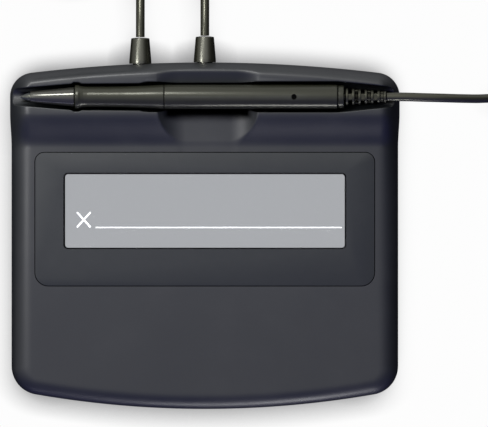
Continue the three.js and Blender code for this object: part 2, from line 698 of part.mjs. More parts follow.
function nibPiece() {
  const collarStartAt = nib.reach + nib.guideLength;
  const stemEnd = switchStart - gap - nib.travel;
  return turned([
    [0, 0],
    [0, nib.tipRadius * nibTipShares.flat],
    [nib.tipRadius * nibTipShares.round, nib.tipRadius],
    [nib.coneLength, nib.radius],
    [collarStartAt, nib.radius],
    [collarStartAt, nib.collarRadius],
    [nibCollarEnd, nib.collarRadius],
    [nibCollarEnd, nib.stemRadius],
    [stemEnd, nib.stemRadius],
    [stemEnd, 0],
  ], "x", sides.pen);
}

function noseCone() {
  const bore = nib.radius + fitGap;
  const chamber = nib.collarRadius + fitGap;
  const shoulder = nib.reach + nib.guideLength - gap;
  return turned([
    [nib.reach, bore],
    [nib.reach, nose.mouthRadius],
    [gripStart, nose.backRadius],
    [gripStart, spigotRadius],
    [gripStart + spigot.length, spigotRadius],
    [gripStart + spigot.length, chamber],
    [shoulder, chamber],
    [shoulder, bore],
  ], "x", sides.pen);
}

function gripBarrel() {
  const start = gripStart + gap;
  const lipEnd = start + grip.lipLength;
  const swellStart = barrelStart - grip.swellLength;
  const lipRise = grip.lipRadius - grip.radius;
  const swell = barrel.radius - grip.radius;
  return turned([
    [start, gripBore],
    [start, grip.lipRadius - lipRise * lipShares.start],
    [start + grip.lipLength * lipShares.rise, grip.lipRadius],
    [lipEnd, grip.lipRadius],
    [lipEnd + grip.lipEase * lipShares.ease, grip.radius + lipRise * lipShares.easeRadius],
    [lipEnd + grip.lipEase, grip.radius],
    [swellStart, grip.radius],
    ...swellShares.map(([along, out]) => [swellStart + grip.swellLength * along, grip.radius + swell * out]),
    [barrelStart, barrel.radius],
    [barrelStart, gripBore],
  ], "x", sides.pen);
}

function rearBarrel() {
  const start = barrelStart + gap;
  const bore = barrel.radius - penWall;
  const round = barrel.edgeRound;
  const tube = turned([
    [start - spigot.length, spigotBore],
    [start - spigot.length, spigotRadius],
    [start, spigotRadius],
    [start, barrel.radius],
    [collarStart - round, barrel.radius],
    [collarStart, barrel.radius - round],
    [collarStart, bore],
    [start + penWall, bore],
    [start + penWall, spigotBore],
  ], "x", sides.pen);
  const holeX = collarStart - pinHole.fromBack;
  return cut(tube, post(pinHole.radius, 0, barrel.radius + overrun, holeX, 0, sides.round));
}

function endCollarPiece() {
  const bore = leadRadius + gap;
  const start = collarStart + gap;
  const spigotOut = barrel.radius - penWall - fitGap;
  return turned([
    [start - spigot.length, bore],
    [start - spigot.length, spigotOut],
    [start, spigotOut],
    [start, endCollar.radius],
    [reliefStart, endCollar.radius],
    [reliefStart, bore],
  ], "x", sides.pen);
}

// Rings that shrink along the cord, joined in turn above and below, then at both sides
function penRelief() {
  const start = reliefStart + gap;
  const firstRing = start + relief.neckLength;
  const pitch = (penLength - relief.ringWidth - firstRing) / (relief.rings - 1);
  const shrink = (relief.frontRadius - relief.backRadius) / (relief.rings - 1);
  const ringRadius = (i) => relief.frontRadius - shrink * i;
  const profile = [[start, relief.coreRadius]];
  for (let i = 0; i < relief.rings; i++) {
    const from = firstRing + i * pitch;
    profile.push([from, relief.coreRadius], [from, ringRadius(i)]);
    profile.push([from + relief.ringWidth, ringRadius(i)], [from + relief.ringWidth, relief.coreRadius]);
  }
  const body = turned([[start, 0], ...profile, [penLength, 0]], "x", sides.relief);
  const webs = Array.from({ length: relief.rings - 1 }, (_, i) => {
    const from = firstRing + i * pitch + relief.ringWidth / 2;
    const across = 2 * (ringRadius(i + 1) - relief.webDrop);
    const size = i % 2 ? [across, relief.webWidth] : [relief.webWidth, across];
    return block(pitch, size[0], size[1], from + pitch / 2, 0, -size[1] / 2);
  });
  const bore = turned([
    [start - overrun, 0],
    [start - overrun, leadRadius + gap],
    [start + relief.boreDepth, leadRadius + gap],
    [start + relief.boreDepth, 0],
  ], "x", sides.small);
  return cut(joined(body, ...webs), bore);
}

// A tube through points, with a frame that keeps its sides level
function tubeThrough(points, radius, count) {
  const up = new THREE.Vector3(0, 0, 1);
  const positions = [];
  points.forEach((point, i) => {
    const before = points[Math.max(i - 1, 0)];
    const after = points[Math.min(i + 1, points.length - 1)];
    const along = after.clone().sub(before).normalize();
    const side = new THREE.Vector3().crossVectors(along, up).normalize();
    const rise = new THREE.Vector3().crossVectors(side, along);
    for (let j = 0; j < count; j++) {
      const angle = (2 * Math.PI * (j + 1 / 2)) / count;
      const out = side.clone().multiplyScalar(radius * Math.cos(angle));
      positions.push(...out.addScaledVector(rise, radius * Math.sin(angle)).add(point));
    }
  });
  const index = [];
  for (let i = 0; i < points.length - 1; i++) {
    for (let j = 0; j < count; j++) {
      const next = (j + 1) % count;
      const [a, b, c, d] = [i * count + j, i * count + next, (i + 1) * count + next, (i + 1) * count + j];
      index.push(a, b, c, a, c, d);
    }
  }
  const last = (points.length - 1) * count;
  for (let j = 1; j < count - 1; j++) index.push(0, j + 1, j, last, last + j, last + j + 1);
  const geometry = new THREE.BufferGeometry();
  geometry.setAttribute("position", new THREE.Float32BufferAttribute(positions, 3));
  geometry.setIndex(index);
  return solidOf(geometry);
}

// The spring round the nib's stem, in the pen's frame
function springPiece() {
  const from = nibCollarEnd + gap + nib.travel + nibSpring.wireRadius;
  const to = gripStart + spigot.length - nibSpring.wireRadius;
  const count = nibSpring.turns * springStepsPerTurn;
  const wire = (j) => ((j + 1 / 2) * 2 * Math.PI) / sides.wire;
  const positions = [];
  for (let i = 0; i <= count; i++) {
    const angle = (2 * Math.PI * i) / springStepsPerTurn;
    for (let j = 0; j < sides.wire; j++) {
      const radius = nibSpring.radius + nibSpring.wireRadius * Math.cos(wire(j));
      const x = from + ((to - from) * i) / count + nibSpring.wireRadius * Math.sin(wire(j));
      positions.push(x, radius * Math.cos(angle), radius * Math.sin(angle));
    }
  }
  const index = [];
  for (let i = 0; i < count; i++) {
    for (let j = 0; j < sides.wire; j++) {
      const next = (j + 1) % sides.wire;
      const [a, b] = [i * sides.wire + j, i * sides.wire + next];
      index.push(a, b, b + sides.wire, a, b + sides.wire, a + sides.wire);
    }
  }
  const last = count * sides.wire;
  for (let j = 1; j < sides.wire - 1; j++) index.push(0, j + 1, j, last, last + j, last + j + 1);
  const geometry = new THREE.BufferGeometry();
  geometry.setAttribute("position", new THREE.Float32BufferAttribute(positions, 3));
  geometry.setIndex(index);
  return solidOf(geometry);
}

// A coil that lies flat: it spirals in and out again, and climbs a layer in the half turn where it reverses.
// Each end runs straight for one diameter of the cord.
function coilPoints({ outerRadius, turnsPerLayer, layers, x, y }) {
  const turns = turnsPerLayer * layers;
  const halfClimb = 1 / 4;
  const loop = (turn) => {
    const layer = Math.min(Math.floor(turn / turnsPerLayer), layers - 1);
    const within = turn - layer * turnsPerLayer;
    const inwards = layer % 2 ? turnsPerLayer - within : within;
    const reversal = Math.round(turn / turnsPerLayer);
    const past = turn - reversal * turnsPerLayer;
    const climbing = reversal > 0 && reversal < layers && Math.abs(past) < halfClimb;
    const level = climbing ? reversal - 1 / 2 + past / (2 * halfClimb) : layer;
    const radius = outerRadius - coilPitch * inwards;
    const angle = 2 * Math.PI * turn;
    return new THREE.Vector3(
      x + radius * Math.cos(angle), y + radius * Math.sin(angle), cordRadius + coilPitch * level);
  };
  const count = Math.round(turns * coilStepsPerTurn);
  const points = Array.from({ length: count + 1 }, (_, i) => loop((turns * i) / count));
  const endAngle = 2 * Math.PI * turns;
  const start = points[0].clone().add(new THREE.Vector3(0, -2 * cordRadius, 0));
  const end = points[count].clone().add(new THREE.Vector3(
    -2 * cordRadius * Math.sin(endAngle), 2 * cordRadius * Math.cos(endAngle), 0));
  return [start, ...points, end];
}

// The least gap of a coil to itself, between stretches of its line that lie a quarter turn or more apart
function leastGap(points) {
  const apart = coilStepsPerTurn / 4;
  const line = (i) => new THREE.Line3(points[i], points[i + 1]);
  let least = Infinity;
  for (let i = 0; i < points.length; i++) {
    for (let j = i + apart; j < points.length - 1; j++) {
      const nearest = line(j).closestPointToPoint(points[i], true, new THREE.Vector3());
      least = Math.min(least, nearest.distanceTo(points[i]));
    }
  }
  return least - 2 * cordRadius;
}

// A cord that isn't coiled, through points chosen by hand
function cordTube(points, radius = cordRadius) {
  const route = new THREE.CatmullRomCurve3(
    points.map(([x, y, z]) => new THREE.Vector3(x, y, z)), false, "centripetal");
  const section = new THREE.Shape();
  for (let i = 0; i < sides.cord; i++) {
    const angle = (2 * Math.PI * (i + 1 / 2)) / sides.cord;
    section[i ? "lineTo" : "moveTo"](radius * Math.cos(angle), radius * Math.sin(angle));
  }
  section.closePath();
  const steps = Math.max(2, Math.round(route.getLength() / (cordStepDiameters * 2 * radius)));
  return solidOf(new THREE.ExtrudeGeometry(section, { steps, extrudePath: route, bevelEnabled: false }));
}

const straight = 2 * cordRadius + gap;
const hostCoilTop = cordRadius + coilPitch * (hostCoil.layers - 1);
const penCoilTop = cordRadius + coilPitch * (penCoil.layers - 1);

const hostRunPoints = [
  [hostBootX, bootTipY(hostBootX) + gap, boot.height],
  [hostBootX, 84, 7.3],
  [hostBootX, 90, 6.3],
  [hostBootX, 97, 4.5],
  [hostBootX, 105, 2.7],
  [hostBootX, 113, 1.85],
  [hostBootX, 119, cordRadius],
  [hostBootX, hostCoil.y - straight, cordRadius],
];

const hostTailPoints = [
  [hostBootX, hostCoil.y + straight, hostCoilTop],
  [hostBootX, 138, 13.3],
  [-25.2, 145, 11.3],
  [-23, 152.5, 8.2],
  [-18, 160, 5.4],
  [-10.6, 166.3, 4.2],
  [-3, 169.4, 3.9],
  [4, 170, 3.9],
];

const penRunPoints = [
  [penStartX + penLength + gap, penY, penAxisHeight],
  [80, 55.4, 20.9],
  [87, 55.2, 20.2],
  [95, 55, 18.3],
  [103, 54.8, 15],
  [111, 54.8, 10.8],
  [119, 55.6, 6.6],
  [127, 58.6, 3.4],
  [134.2, 64.2, 2],
  [139.4, 72, cordRadius],
  [142.4, 81.5, cordRadius],
  [143, 92, cordRadius],
  [143, 106, cordRadius],
  [143, 115, cordRadius],
  [penCoil.x + penCoil.outerRadius, penCoil.y - straight, cordRadius],
];

const penReturnPoints = [
  [penCoil.x - straight, penCoil.y + penCoil.outerRadius, penCoilTop],
  [110, 148.4, 5.4],
  [100, 148.4, 4.2],
  [88, 148.3, 2.5],
  [76, 148.1, cordRadius],
  [60, 147.8, cordRadius],
  [44, 146.8, cordRadius],
  [29, 143.4, cordRadius],
  [16.5, 136.6, cordRadius],
  [7.4, 127.2, cordRadius],
  [2, 116.4, 1.8],
  [penBootX, 106, 2.4],
  [penBootX, 97, 4],
  [penBootX, 89, 6.2],
  [penBootX, 84, 7.2],
  [penBootX, bootTipY(penBootX) + gap, boot.height],
];

// Leads inside the housing, from a boot to its header on the board
function insideLead(x) {
  const from = wallY(x) - wall - 3 * gap - boot.flangeThickness;
  const to = boardFront + leadHeader.fromFront + leadHeader.length / 2 + gap;
  const headerZ = boardTop + stackGap + leadHeader.height / 2;
  const bend = (from - to) / 4;
  return cordTube([
    [x, from, boot.height],
    [x, from - bend, boot.height],
    [x, to + bend, headerZ],
    [x, to, headerZ],
  ], leadRadius);
}

// The plug along +X, from the end of the cord
function plugGripPiece() {
  const section = roundedRectangle(plugGrip.height, plugGrip.width, plugGrip.cornerRadius);
  const lying = new THREE.Matrix4().makeBasis(
    new THREE.Vector3(0, 0, -1), new THREE.Vector3(0, 1, 0), new THREE.Vector3(1, 0, 0));
  const body = placed(plate(section, plugGrip.reliefLength, plugGrip.length), lying);
  const taper = turned([
    [0, 0],
    [0, plugGrip.reliefTipRadius],
    [plugGrip.reliefLength, plugGrip.reliefRadius],
    [plugGrip.reliefLength + gap, plugGrip.reliefRadius],
    [plugGrip.reliefLength + gap, 0],
  ], "x");
  const seatStart = plugGrip.reliefLength + plugGrip.length - plugShell.bury - gap;
  const seat = block(
    overrun + plugShell.bury, plugShell.width + 2 * gap, plugShell.height + 2 * gap,
    seatStart + (overrun + plugShell.bury) / 2, 0, -plugShell.height / 2 - gap);
  return cut(joined(body, taper), seat);
}

const shellStart = plugGrip.reliefLength + plugGrip.length - plugShell.bury;
const shellLength = plugShell.length + plugShell.bury;

function plugShellPiece() {
  const { width, height, thickness } = plugShell;
  const middle = shellStart + shellLength / 2;
  const outer = block(shellLength, width, height, middle, 0, -height / 2);
  const bore = block(
    shellLength + 2 * overrun, width - 2 * thickness, height - 2 * thickness,
    middle, 0, -height / 2 + thickness);
  return cut(outer, bore);
}

function plugTonguePiece() {
  const length = shellLength - plugTongue.setBack;
  const top = plugShell.height / 2 - plugShell.thickness - fitGap;
  return block(
    length, plugTongue.width, plugTongue.thickness, shellStart + length / 2, 0, top - plugTongue.thickness);
}

// Assembly
const pad = new THREE.Group();
pad.add(
  piece("top_cover", topCover(), charcoalPlastic),
  piece("bottom_cover", bottomCover(), charcoalPlastic),
);
footPlaces.forEach(({ x, y }, i) => {
  pad.add(piece(`foot_${i + 1}`, rubberFoot(), blackRubber, [x, y, 0]));
});
caseBossPlaces.forEach(({ x, y }, i) => {
  const place = [x, y, footHeight + caseScrew.sunk];
  pad.add(piece(`case_screw_${i + 1}`, screw(caseScrew), zincSteel, place));
});

const display = new THREE.Group();
display.applyMatrix4(deckFrame);
display.add(
  piece("bezel_overlay", filmFrame(), filmPlastic, [0, -film.aheadOfWindow, 0]),
  piece("sensor_glass", plate(
    roundedRectangle(glass.width, glass.length, glass.cornerRadius),
    glassTop - glass.thickness, glass.thickness), clearGlass),
  piece("sensor_gasket", sheetFrame(
    glass.width, glass.length, gasket.border, gasketTop, gasket.thickness, glass.cornerRadius), blackFoam),
  piece("lcd_frame", sheetFrame(
    lcdFrame.width, lcdFrame.length, lcdFrame.border, lcdFrameTop, lcdFrame.thickness,
    lcdFrame.cornerRadius), tinPlate),
  piece("lcd_panel", sheet(lcdPanel, lcdPanelTop), displayGrey),
  piece("light_guide", sheet(lightGuide, lightGuideTop), clearGuide),
  piece("lcd_board", sheet(lcdBoard, lcdBoardTop), boardGreen),
);
pad.add(display);

pad.add(
  piece("main_board", mainBoard(), boardGreen),
  piece("main_chip", onBoard(mainChip, mainChip.fromMiddle), chipBlack),
  piece("memory_chip", onBoard(memoryChip, memoryChip.fromMiddle), chipBlack),
  piece("crystal_can", onBoard(crystalCan, crystalCan.fromMiddle), tinPlate),
  piece("pen_header", onBoard(leadHeader, penBootX), socketWhite),
  piece("host_header", onBoard(leadHeader, hostBootX), socketWhite),
  piece("ribbon_socket", onBoard(ribbonSocket, ribbonSocket.fromMiddle), socketWhite),
  piece("flex_socket", onBoard(flexSocket, flexSocket.fromMiddle), socketWhite),
  piece("display_ribbon", displayRibbon(), flexAmber),
  piece("sensor_flex", sensorFlexLead(), flexAmber),
  piece("pen_lead_inside", insideLead(penBootX), cordSheath),
  piece("host_lead_inside", insideLead(hostBootX), cordSheath),
);
boardPostPlaces.forEach(({ x, y }, i) => {
  const mesh = piece(`board_screw_${i + 1}`, screw(boardScrew), zincSteel);
  mesh.position.set(x, y, boardTop + stackGap + boardScrew.headHeight);
  mesh.rotation.x = 2 * quarterTurn;
  pad.add(mesh);
});
pad.add(
  piece("pen_boot", cableBoot(), blackRubber, [penBootX, wallY(penBootX), boot.height]),
  piece("host_boot", cableBoot(), blackRubber, [hostBootX, wallY(hostBootX), boot.height]),
);

const pen = new THREE.Group();
pen.position.set(penStartX, penY, penAxisHeight);
const penBoardStart = switchStart + tipSwitch.length + gap;
const penBoardEnd = penBoardStart + penBoard.length;
const alongPen = ({ length, width, height }, start) =>
  block(length, width, height, start + length / 2, 0, -height / 2);
pen.add(
  piece("nib", nibPiece(), nibPlastic),
  piece("nose_cone", noseCone(), nosePaint),
  piece("grip_barrel", gripBarrel(), penPaint),
  piece("rear_barrel", rearBarrel(), penPaint),
  piece("pen_end_collar", endCollarPiece(), penPaint),
  piece("pen_cable_relief", penRelief(), blackRubber),
  piece("nib_spring", springPiece(), zincSteel),
  piece("tip_switch", alongPen(tipSwitch, switchStart), chipBlack),
  piece("pen_board", alongPen(penBoard, penBoardStart), boardGreen),
  piece("pen_lead", turned([
    [penBoardEnd + gap, 0],
    [penBoardEnd + gap, leadRadius],
    [reliefStart + relief.boreDepth, leadRadius],
    [reliefStart + relief.boreDepth, 0],
  ], "x", sides.cord), cordSheath),
);
pad.add(pen);

const coils = { host_cable_coil: hostCoil, pen_cable_coil: penCoil };
for (const [name, coil] of Object.entries(coils)) {
  const points = coilPoints(coil);
  console.log(`${name}: least gap to itself ${leastGap(points).toFixed(2)} mm`);
  pad.add(piece(name, tubeThrough(points, cordRadius, sides.coil), cordSheath));
}
pad.add(
  piece("host_cable_run", cordTube(hostRunPoints), cordSheath),
  piece("host_cable_tail", cordTube(hostTailPoints), cordSheath),
  piece("pen_cable_run", cordTube(penRunPoints), cordSheath),
  piece("pen_cable_return", cordTube(penReturnPoints), cordSheath),
);

const plug = new THREE.Group();
const plugEnd = hostTailPoints.at(-1);
plug.position.set(plugEnd[0] + gap, plugEnd[1], plugEnd[2]);
plug.add(
  piece("plug_grip", plugGripPiece(), plugBlack),
  piece("plug_shell", plugShellPiece(), tinPlate),
  piece("plug_tongue", plugTonguePiece(), chipBlack),
);
pad.add(plug);

export default pad;
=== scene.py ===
"""Signature pad with a tethered pen: Blender pieces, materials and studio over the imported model."""

import math

import bmesh
import bpy
from bpy.props import FloatProperty, FloatVectorProperty, IntProperty, PointerProperty
from mathutils import Matrix, Vector


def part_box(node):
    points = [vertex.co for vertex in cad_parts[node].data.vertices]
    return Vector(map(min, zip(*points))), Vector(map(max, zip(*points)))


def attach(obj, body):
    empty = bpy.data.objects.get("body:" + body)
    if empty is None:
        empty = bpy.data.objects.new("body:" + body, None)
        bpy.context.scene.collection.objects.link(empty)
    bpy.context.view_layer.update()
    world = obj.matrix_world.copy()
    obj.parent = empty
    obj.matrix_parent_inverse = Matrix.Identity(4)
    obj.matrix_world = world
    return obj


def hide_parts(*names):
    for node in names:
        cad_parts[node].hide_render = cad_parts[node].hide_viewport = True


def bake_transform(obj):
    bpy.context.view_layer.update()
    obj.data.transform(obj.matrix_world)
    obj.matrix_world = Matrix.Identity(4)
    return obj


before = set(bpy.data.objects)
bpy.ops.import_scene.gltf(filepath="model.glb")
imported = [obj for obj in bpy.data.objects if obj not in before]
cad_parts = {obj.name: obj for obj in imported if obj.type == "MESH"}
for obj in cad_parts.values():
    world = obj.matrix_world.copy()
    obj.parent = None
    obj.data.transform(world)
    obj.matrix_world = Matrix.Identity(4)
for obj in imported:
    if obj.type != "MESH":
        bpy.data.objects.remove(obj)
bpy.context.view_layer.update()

bl_info = {
    "name": "Signature Pad",
    "version": (1, 0, 0),
    "blender": (4, 5, 0),
    "location": "View3D > Sidebar > Signature Pad",
    "description": "Builds a desk signature pad with a tethered pen over its packed model",
    "category": "Object",
}

MM = 0.001

# Shape of the housing in millimetres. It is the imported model's, apart from the pen's groove and the back of
# the finger scoop, which steps up by SCOOP_BACK_RISE and then runs back SCOOP_BACK_RUN for each millimetre.
BODY_WIDTH, RIDGE_WIDTH, DEPTH = 154.6, 155.8, 138.6
BACK_Y = DEPTH / 2
FRONT_BOW, BACK_BOW = 396, 586
FRONT_CORNER, BACK_CORNER = 11.5, 9.5
FRONT_HEIGHT, DECK_TILT, WALL = 11, math.radians(2.5), 2.2
PARTING, SEAM_GAP = 5.5, 0.3
COVER_BASE = PARTING + SEAM_GAP / 2
RIDGE_RISE, RIDGE_FOOT, RIDGE_SLOPE = 5.6, BACK_Y - 34, 14
SIDE_ROUND, FRONT_ROUND, BACK_ROUND, INNER_SHARE = 8, 6, 4.6, 0.5
PEN_Y, PEN_Z = BACK_Y - 13.9, 21
NUB_X, NUB_LENGTH, NUB_BULGE, NUB_STAND, NUB_BELOW = 24.2, 2, 0.9, 0.3, 1.25
SCOOP_X, SCOOP_HALF, SCOOP_SIDE, SCOOP_LIFT = 1.2, 9, 13.4, 0.03
SCOOP_BACK_FOOT, SCOOP_BACK_RISE, SCOOP_BACK_RUN = PEN_Y + 4, 2.2, 2.9
SCOOP_LOW, SCOOP_HIGH = 3, 9
SCOOP_REACH, SCOOP_FRONT, SCOOP_TRIES = 24, RIDGE_FOOT - 7, 18
SCOOP_LIP, SCOOP_LIP_GAIN, SCOOP_LIP_RUN = 1.2, 2.2, 6
LIP_BELOW_AXIS, LIP_FADE = 1, 1.5
WINDOW_Y = BACK_Y - 59.4
DISPLAY_MIDDLE, DISPLAY_HALF, DISPLAY_CORNER = (0.00005, WINDOW_Y * MM, 0), (0.05585, 0.01467), 0.0012
FLOOR_BOTTOM, FLOOR_TOP = 1.5, 3.5
FEET = [(x, y) for x in (-60.3, 60.3) for y in (-52.3, 53.3)]
CASE_BOSSES = [(x, y) for x in (-65.5, 65.5) for y in (-38.3, 37.3)]
BOOTS = {"pen_boot": 0, "host_boot": -25.8}
BOOT_Z, BOOT_REACH = 7.5, 10.4
PASSAGE_REACH, FLANGE_ROOM, NECK_ROOM = 5, 3.9, 3.3

# Cuts across the top cover's sheet: steps of its rounded edge, pitches of rows and columns, and the places of
# the cuts round the groove, in degrees of its round and in shares of its lip
EDGE_STEPS, EDGE_MARGIN, BAND_MARGIN, EASE_CUTS = 14, 1.0, 0.8, 6
SLOPE_PITCH, BACK_PITCH, COLUMN_PITCH = 0.6, 0.3, 0.38
SLOPE_CUT_START, SLOPE_CUT_CLEAR, COLUMN_CUT_FRONT = RIDGE_FOOT - 0.8, 0.15, RIDGE_FOOT - 9
SCOOP_CUT_REACH, SCOOP_CUT_FRONT, SCOOP_CUT_START = SCOOP_HALF + 11.6, RIDGE_FOOT - 8, RIDGE_FOOT - 3
AHEAD_HALF, AHEAD_ROWS = 70, (SCOOP_CUT_FRONT, RIDGE_FOOT - 4)
BACK_CUT_CLEAR, BACK_CUT_END = 0.3, BACK_Y - 0.6
ROUND_CUTS = (*range(6, 80, 6), 80, 84, 87.5, 90)
LIP_CUTS = (0.06, 0.2, 0.45, 0.72, 1.0)

# Bottom cover: its tongue and rounded foot, the seats and holes in it, and the screws and feet
TRAY_WALL, TONGUE_INSET, TONGUE_TOP, TRAY_EDGE = 3.7, 2.5, 6.6, 0.16
FOOT_INSET, FOOT_ROUND, FOOT_STEPS, FLOOR_INSET = 0.7, 3, 8, 6.0
BOSS_RADIUS, BOSS_FOOT, SCREW_HOLE = 3.4, 5.9, 1.65
COLLAR_FOOT, COLLAR_TOP, HEAD_SEAT, HEAD_SEAT_DEPTH = 2.5, FLOOR_TOP + 2.1, 2.85, 3.55
FOOT_SEAT, FOOT_SEAT_DEPTH = 5.3, 2.5
LABEL_RECESS = dict(width=62, depth=26, bottom=0, top=1.8, back_radius=2, middle=(0, -BACK_Y + 46))
FOOT_PROFILE = [(0, 0), (0, 3.2, 0.4), (0.28, 3.7, 0.4), (0, 4.2, 0.4), (0, 5, 0.8), (2.3, 5, 0.2), (2.3, 0)]
SCREW_Z = 1.7
SCREW_PROFILE = [
    (0, 0), (0, 1.9, 0.8), (0.56, 2.6, 0.3), (1.6, 2.6, 0.1), (1.6, 1.4, 0.2), (6.4, 1.4), (7.6, 0.3),
    (7.6, 0),
]
CROSS_RECESS = ((0.75, 2.7, 1.7), (2.7, 0.75, 1.7))

# Display, in its own frame on the tilted deck: film, glass pocket, opening, the ledge below, and the marks
FILM_Y = -3.3
FILM = dict(width=135.5, depth=53.2, bottom=-0.35, top=0.05, back_radius=3.7, front_radius=5.3)
FILM_SEAT = dict(width=136.1, depth=53.8, bottom=-0.55, top=4, back_radius=4.0, front_radius=5.6)
FILM_OPENING = dict(width=113, depth=30.5, bottom=-3, top=3, back_radius=1.8)
GLASS_POCKET = dict(width=124.6, depth=42.6, bottom=-2.55, top=1, back_radius=1.3)
LEDGE_SIZE, LEDGE_Z = (130, 48, 2.75), -2.175
DISPLAY_HOLE_SIZE, DISPLAY_HOLE_Z = (115.6, 33.6, 12), -7
MARK_Z, MARK_THICK = -4.45 + 0.03, 0.05
LINE_LENGTH, LINE_AT = 98.3, (5.55, 3.1 - WINDOW_Y, MARK_Z)
STROKE_LENGTH, STROKE_TURN, CROSS_AT = 8.0, math.radians(48), (-48.4, 6.2 - WINDOW_Y, MARK_Z)

# The pen, from the tip of its nib. Its profiles are points along it with their radius, and where a corner is
# rounded, by how much.
PEN_LENGTH = 145.8
PEN_START = -0.5 - PEN_LENGTH / 2
GRIP_START, COLLAR_START, RELIEF_START = 20.6, 126.4, 129
NIB_PROFILE = [
    (0, 0), (0, 0.28, 0.2), (0.28, 0.55, 0.3), (2.9, 1.6, 0.4), (11.5, 1.6), (11.5, 2.05), (12.7, 2.05),
    (12.7, 0.8), (24.3, 0.8), (24.3, 0),
]
NOSE_PROFILE = [
    (3.8, 1.85), (3.8, 2.15, 0.25), (9.4, 2.72), (15.4, 3.33), (21.05, 3.9, 0.12), (21.2, 3.8), (21.2, 2.85),
    (24.6, 2.85), (24.6, 2.3), (11.2, 2.3), (11.2, 1.85),
]
GRIP_PROFILE = [
    (21.5, 3.1), (21.5, 4.45, 0.3), (21.9, 4.75, 0.35), (22.9, 4.75, 0.6), (23.7, 4.46, 0.8),
    (24.9, 4.2, 1.0), (26.5, 4.1, 1.2), (33, 4.1, 8), (41.4, 4.2, 8), (49.8, 4.5, 8), (56.85, 4.85, 0.1),
    (57, 4.75), (57, 3.1),
]
BARREL_PROFILE = [
    (53.3, 2.2), (53.3, 2.85), (57.3, 2.85), (57.3, 4.75), (57.4, 4.85, 0.1), (126.1, 4.85, 0.3),
    (126.4, 4.55), (126.4, 3.85), (58.3, 3.85), (58.3, 2.2),
]
HOLE_START, HOLE_RADIUS = 109, 1.1
COLLAR_PROFILE = [
    (122.7, 1.5), (122.7, 3.6), (126.7, 3.6), (126.7, 4.5), (126.8, 4.6, 0.1), (128.7, 4.6, 0.35), (129, 4.2),
    (129, 1.5),
]
RINGS, RING_WIDTH, RING_FIRST, RING_LAST, RING_CORE, RING_EDGE = 7, 1.0, 3.4, 2.3, 1.7, 0.22
RELIEF_STEP, RELIEF_BORE, WEB_INSET, WEB_FLAT, WEB_TALL, WEB_EDGE = 0.3, 1.45, 0.25, 1.4, 2.4, 0.2

# The groove that the pen lies in: its widest radius, its radius and axis height along the pen, and the
# longest stretch between two of them that is eased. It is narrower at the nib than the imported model's groove.
REST_RADIUS, REST_Z, REST_EASE = 6.1, PEN_Z + 0.85, 4
REST_LIP = PEN_START + GRIP_START + 0.3
REST_STATIONS = [
    (PEN_START - 8, 3.0, 14.6), (PEN_START, 3.5, 18.0), (PEN_START + 6, 4.0, 20.2),
    (REST_LIP - 0.9, 5.15, PEN_Z + 0.5), (REST_LIP + 0.4, 5.75, PEN_Z + 0.5),
    (REST_LIP + 2, 5.75, PEN_Z + 0.5), (REST_LIP + 3.6, 5.2, PEN_Z + 0.5),
    (-26.4, 5.35, PEN_Z + 0.5), (-23, 6.0, REST_Z),
    (PEN_START + COLLAR_START, REST_RADIUS, REST_Z), (PEN_START + RELIEF_START, 5.9, REST_Z),
    (PEN_START + PEN_LENGTH, 4.2, 20.6), (PEN_START + PEN_LENGTH + 8, 3.5, 19.2),
]

# Cable boots, from the wall's face outwards
BOOT_INNER = -WALL - 0.6
BOOT_PROFILE = [
    (BOOT_INNER - 1.6, 0), (BOOT_INNER - 1.6, 3.6, 0.3), (BOOT_INNER, 3.6, 0.2), (BOOT_INNER, 3), (0.05, 3),
    (0.05, 4.45, 0.1), (1.3, 4.4, 0.3), (BOOT_REACH - 0.2, 3.65, 0.45), (BOOT_REACH, 2.1, 0.15),
    (BOOT_REACH - 0.1, 0),
]

# Cords
CORD_RADIUS, COIL_PITCH = 1.75, 4.02
HOST_COIL = {"outer": 27.2, "turns": 3.25, "layers": 4, "x": -53, "y": 129}
PEN_COIL = {"outer": 22.4, "turns": 1.125, "layers": 2, "x": 120.6, "y": 126}
HOST_RUN = [
    (-25.8, 79.43, 7.5), (-25.8, 84, 7.3), (-25.8, 90, 6.3), (-25.8, 97, 4.5), (-25.8, 105, 2.7),
    (-25.8, 113, 1.85), (-25.8, 119, 1.75), (-25.8, 125.2, 1.75),
]
HOST_TAIL = [
    (-25.8, 132.8, 13.81), (-25.8, 138, 13.3), (-25.2, 145, 11.3), (-23, 152.5, 8.2), (-18, 160, 5.4),
    (-10.6, 166.3, 4.2), (-3, 169.4, 3.9), (4, 170, 3.9),
]
PEN_RUN = [
    (72.7, 55.4, 21), (80, 55.4, 20.9), (87, 55.2, 20.2), (95, 55, 18.3), (103, 54.8, 15),
    (111, 54.8, 10.8), (119, 55.6, 6.6), (127, 58.6, 3.4), (134.2, 64.2, 2), (139.4, 72, 1.75),
    (142.4, 81.5, 1.75), (143, 92, 1.75), (143, 106, 1.75), (143, 115, 1.75), (143, 122.2, 1.75),
]
PEN_RETURN = [
    (116.8, 148.4, 5.77), (110, 148.4, 5.4), (100, 148.4, 4.2), (88, 148.3, 2.5), (76, 148.1, 1.75),
    (60, 147.8, 1.75), (44, 146.8, 1.75), (29, 143.4, 1.75), (16.5, 136.6, 1.75), (7.4, 127.2, 1.75),
    (2, 116.4, 1.8), (0, 106, 2.4), (0, 97, 4), (0, 89, 6.2), (0, 84, 7.2), (0, 80, 7.5),
]

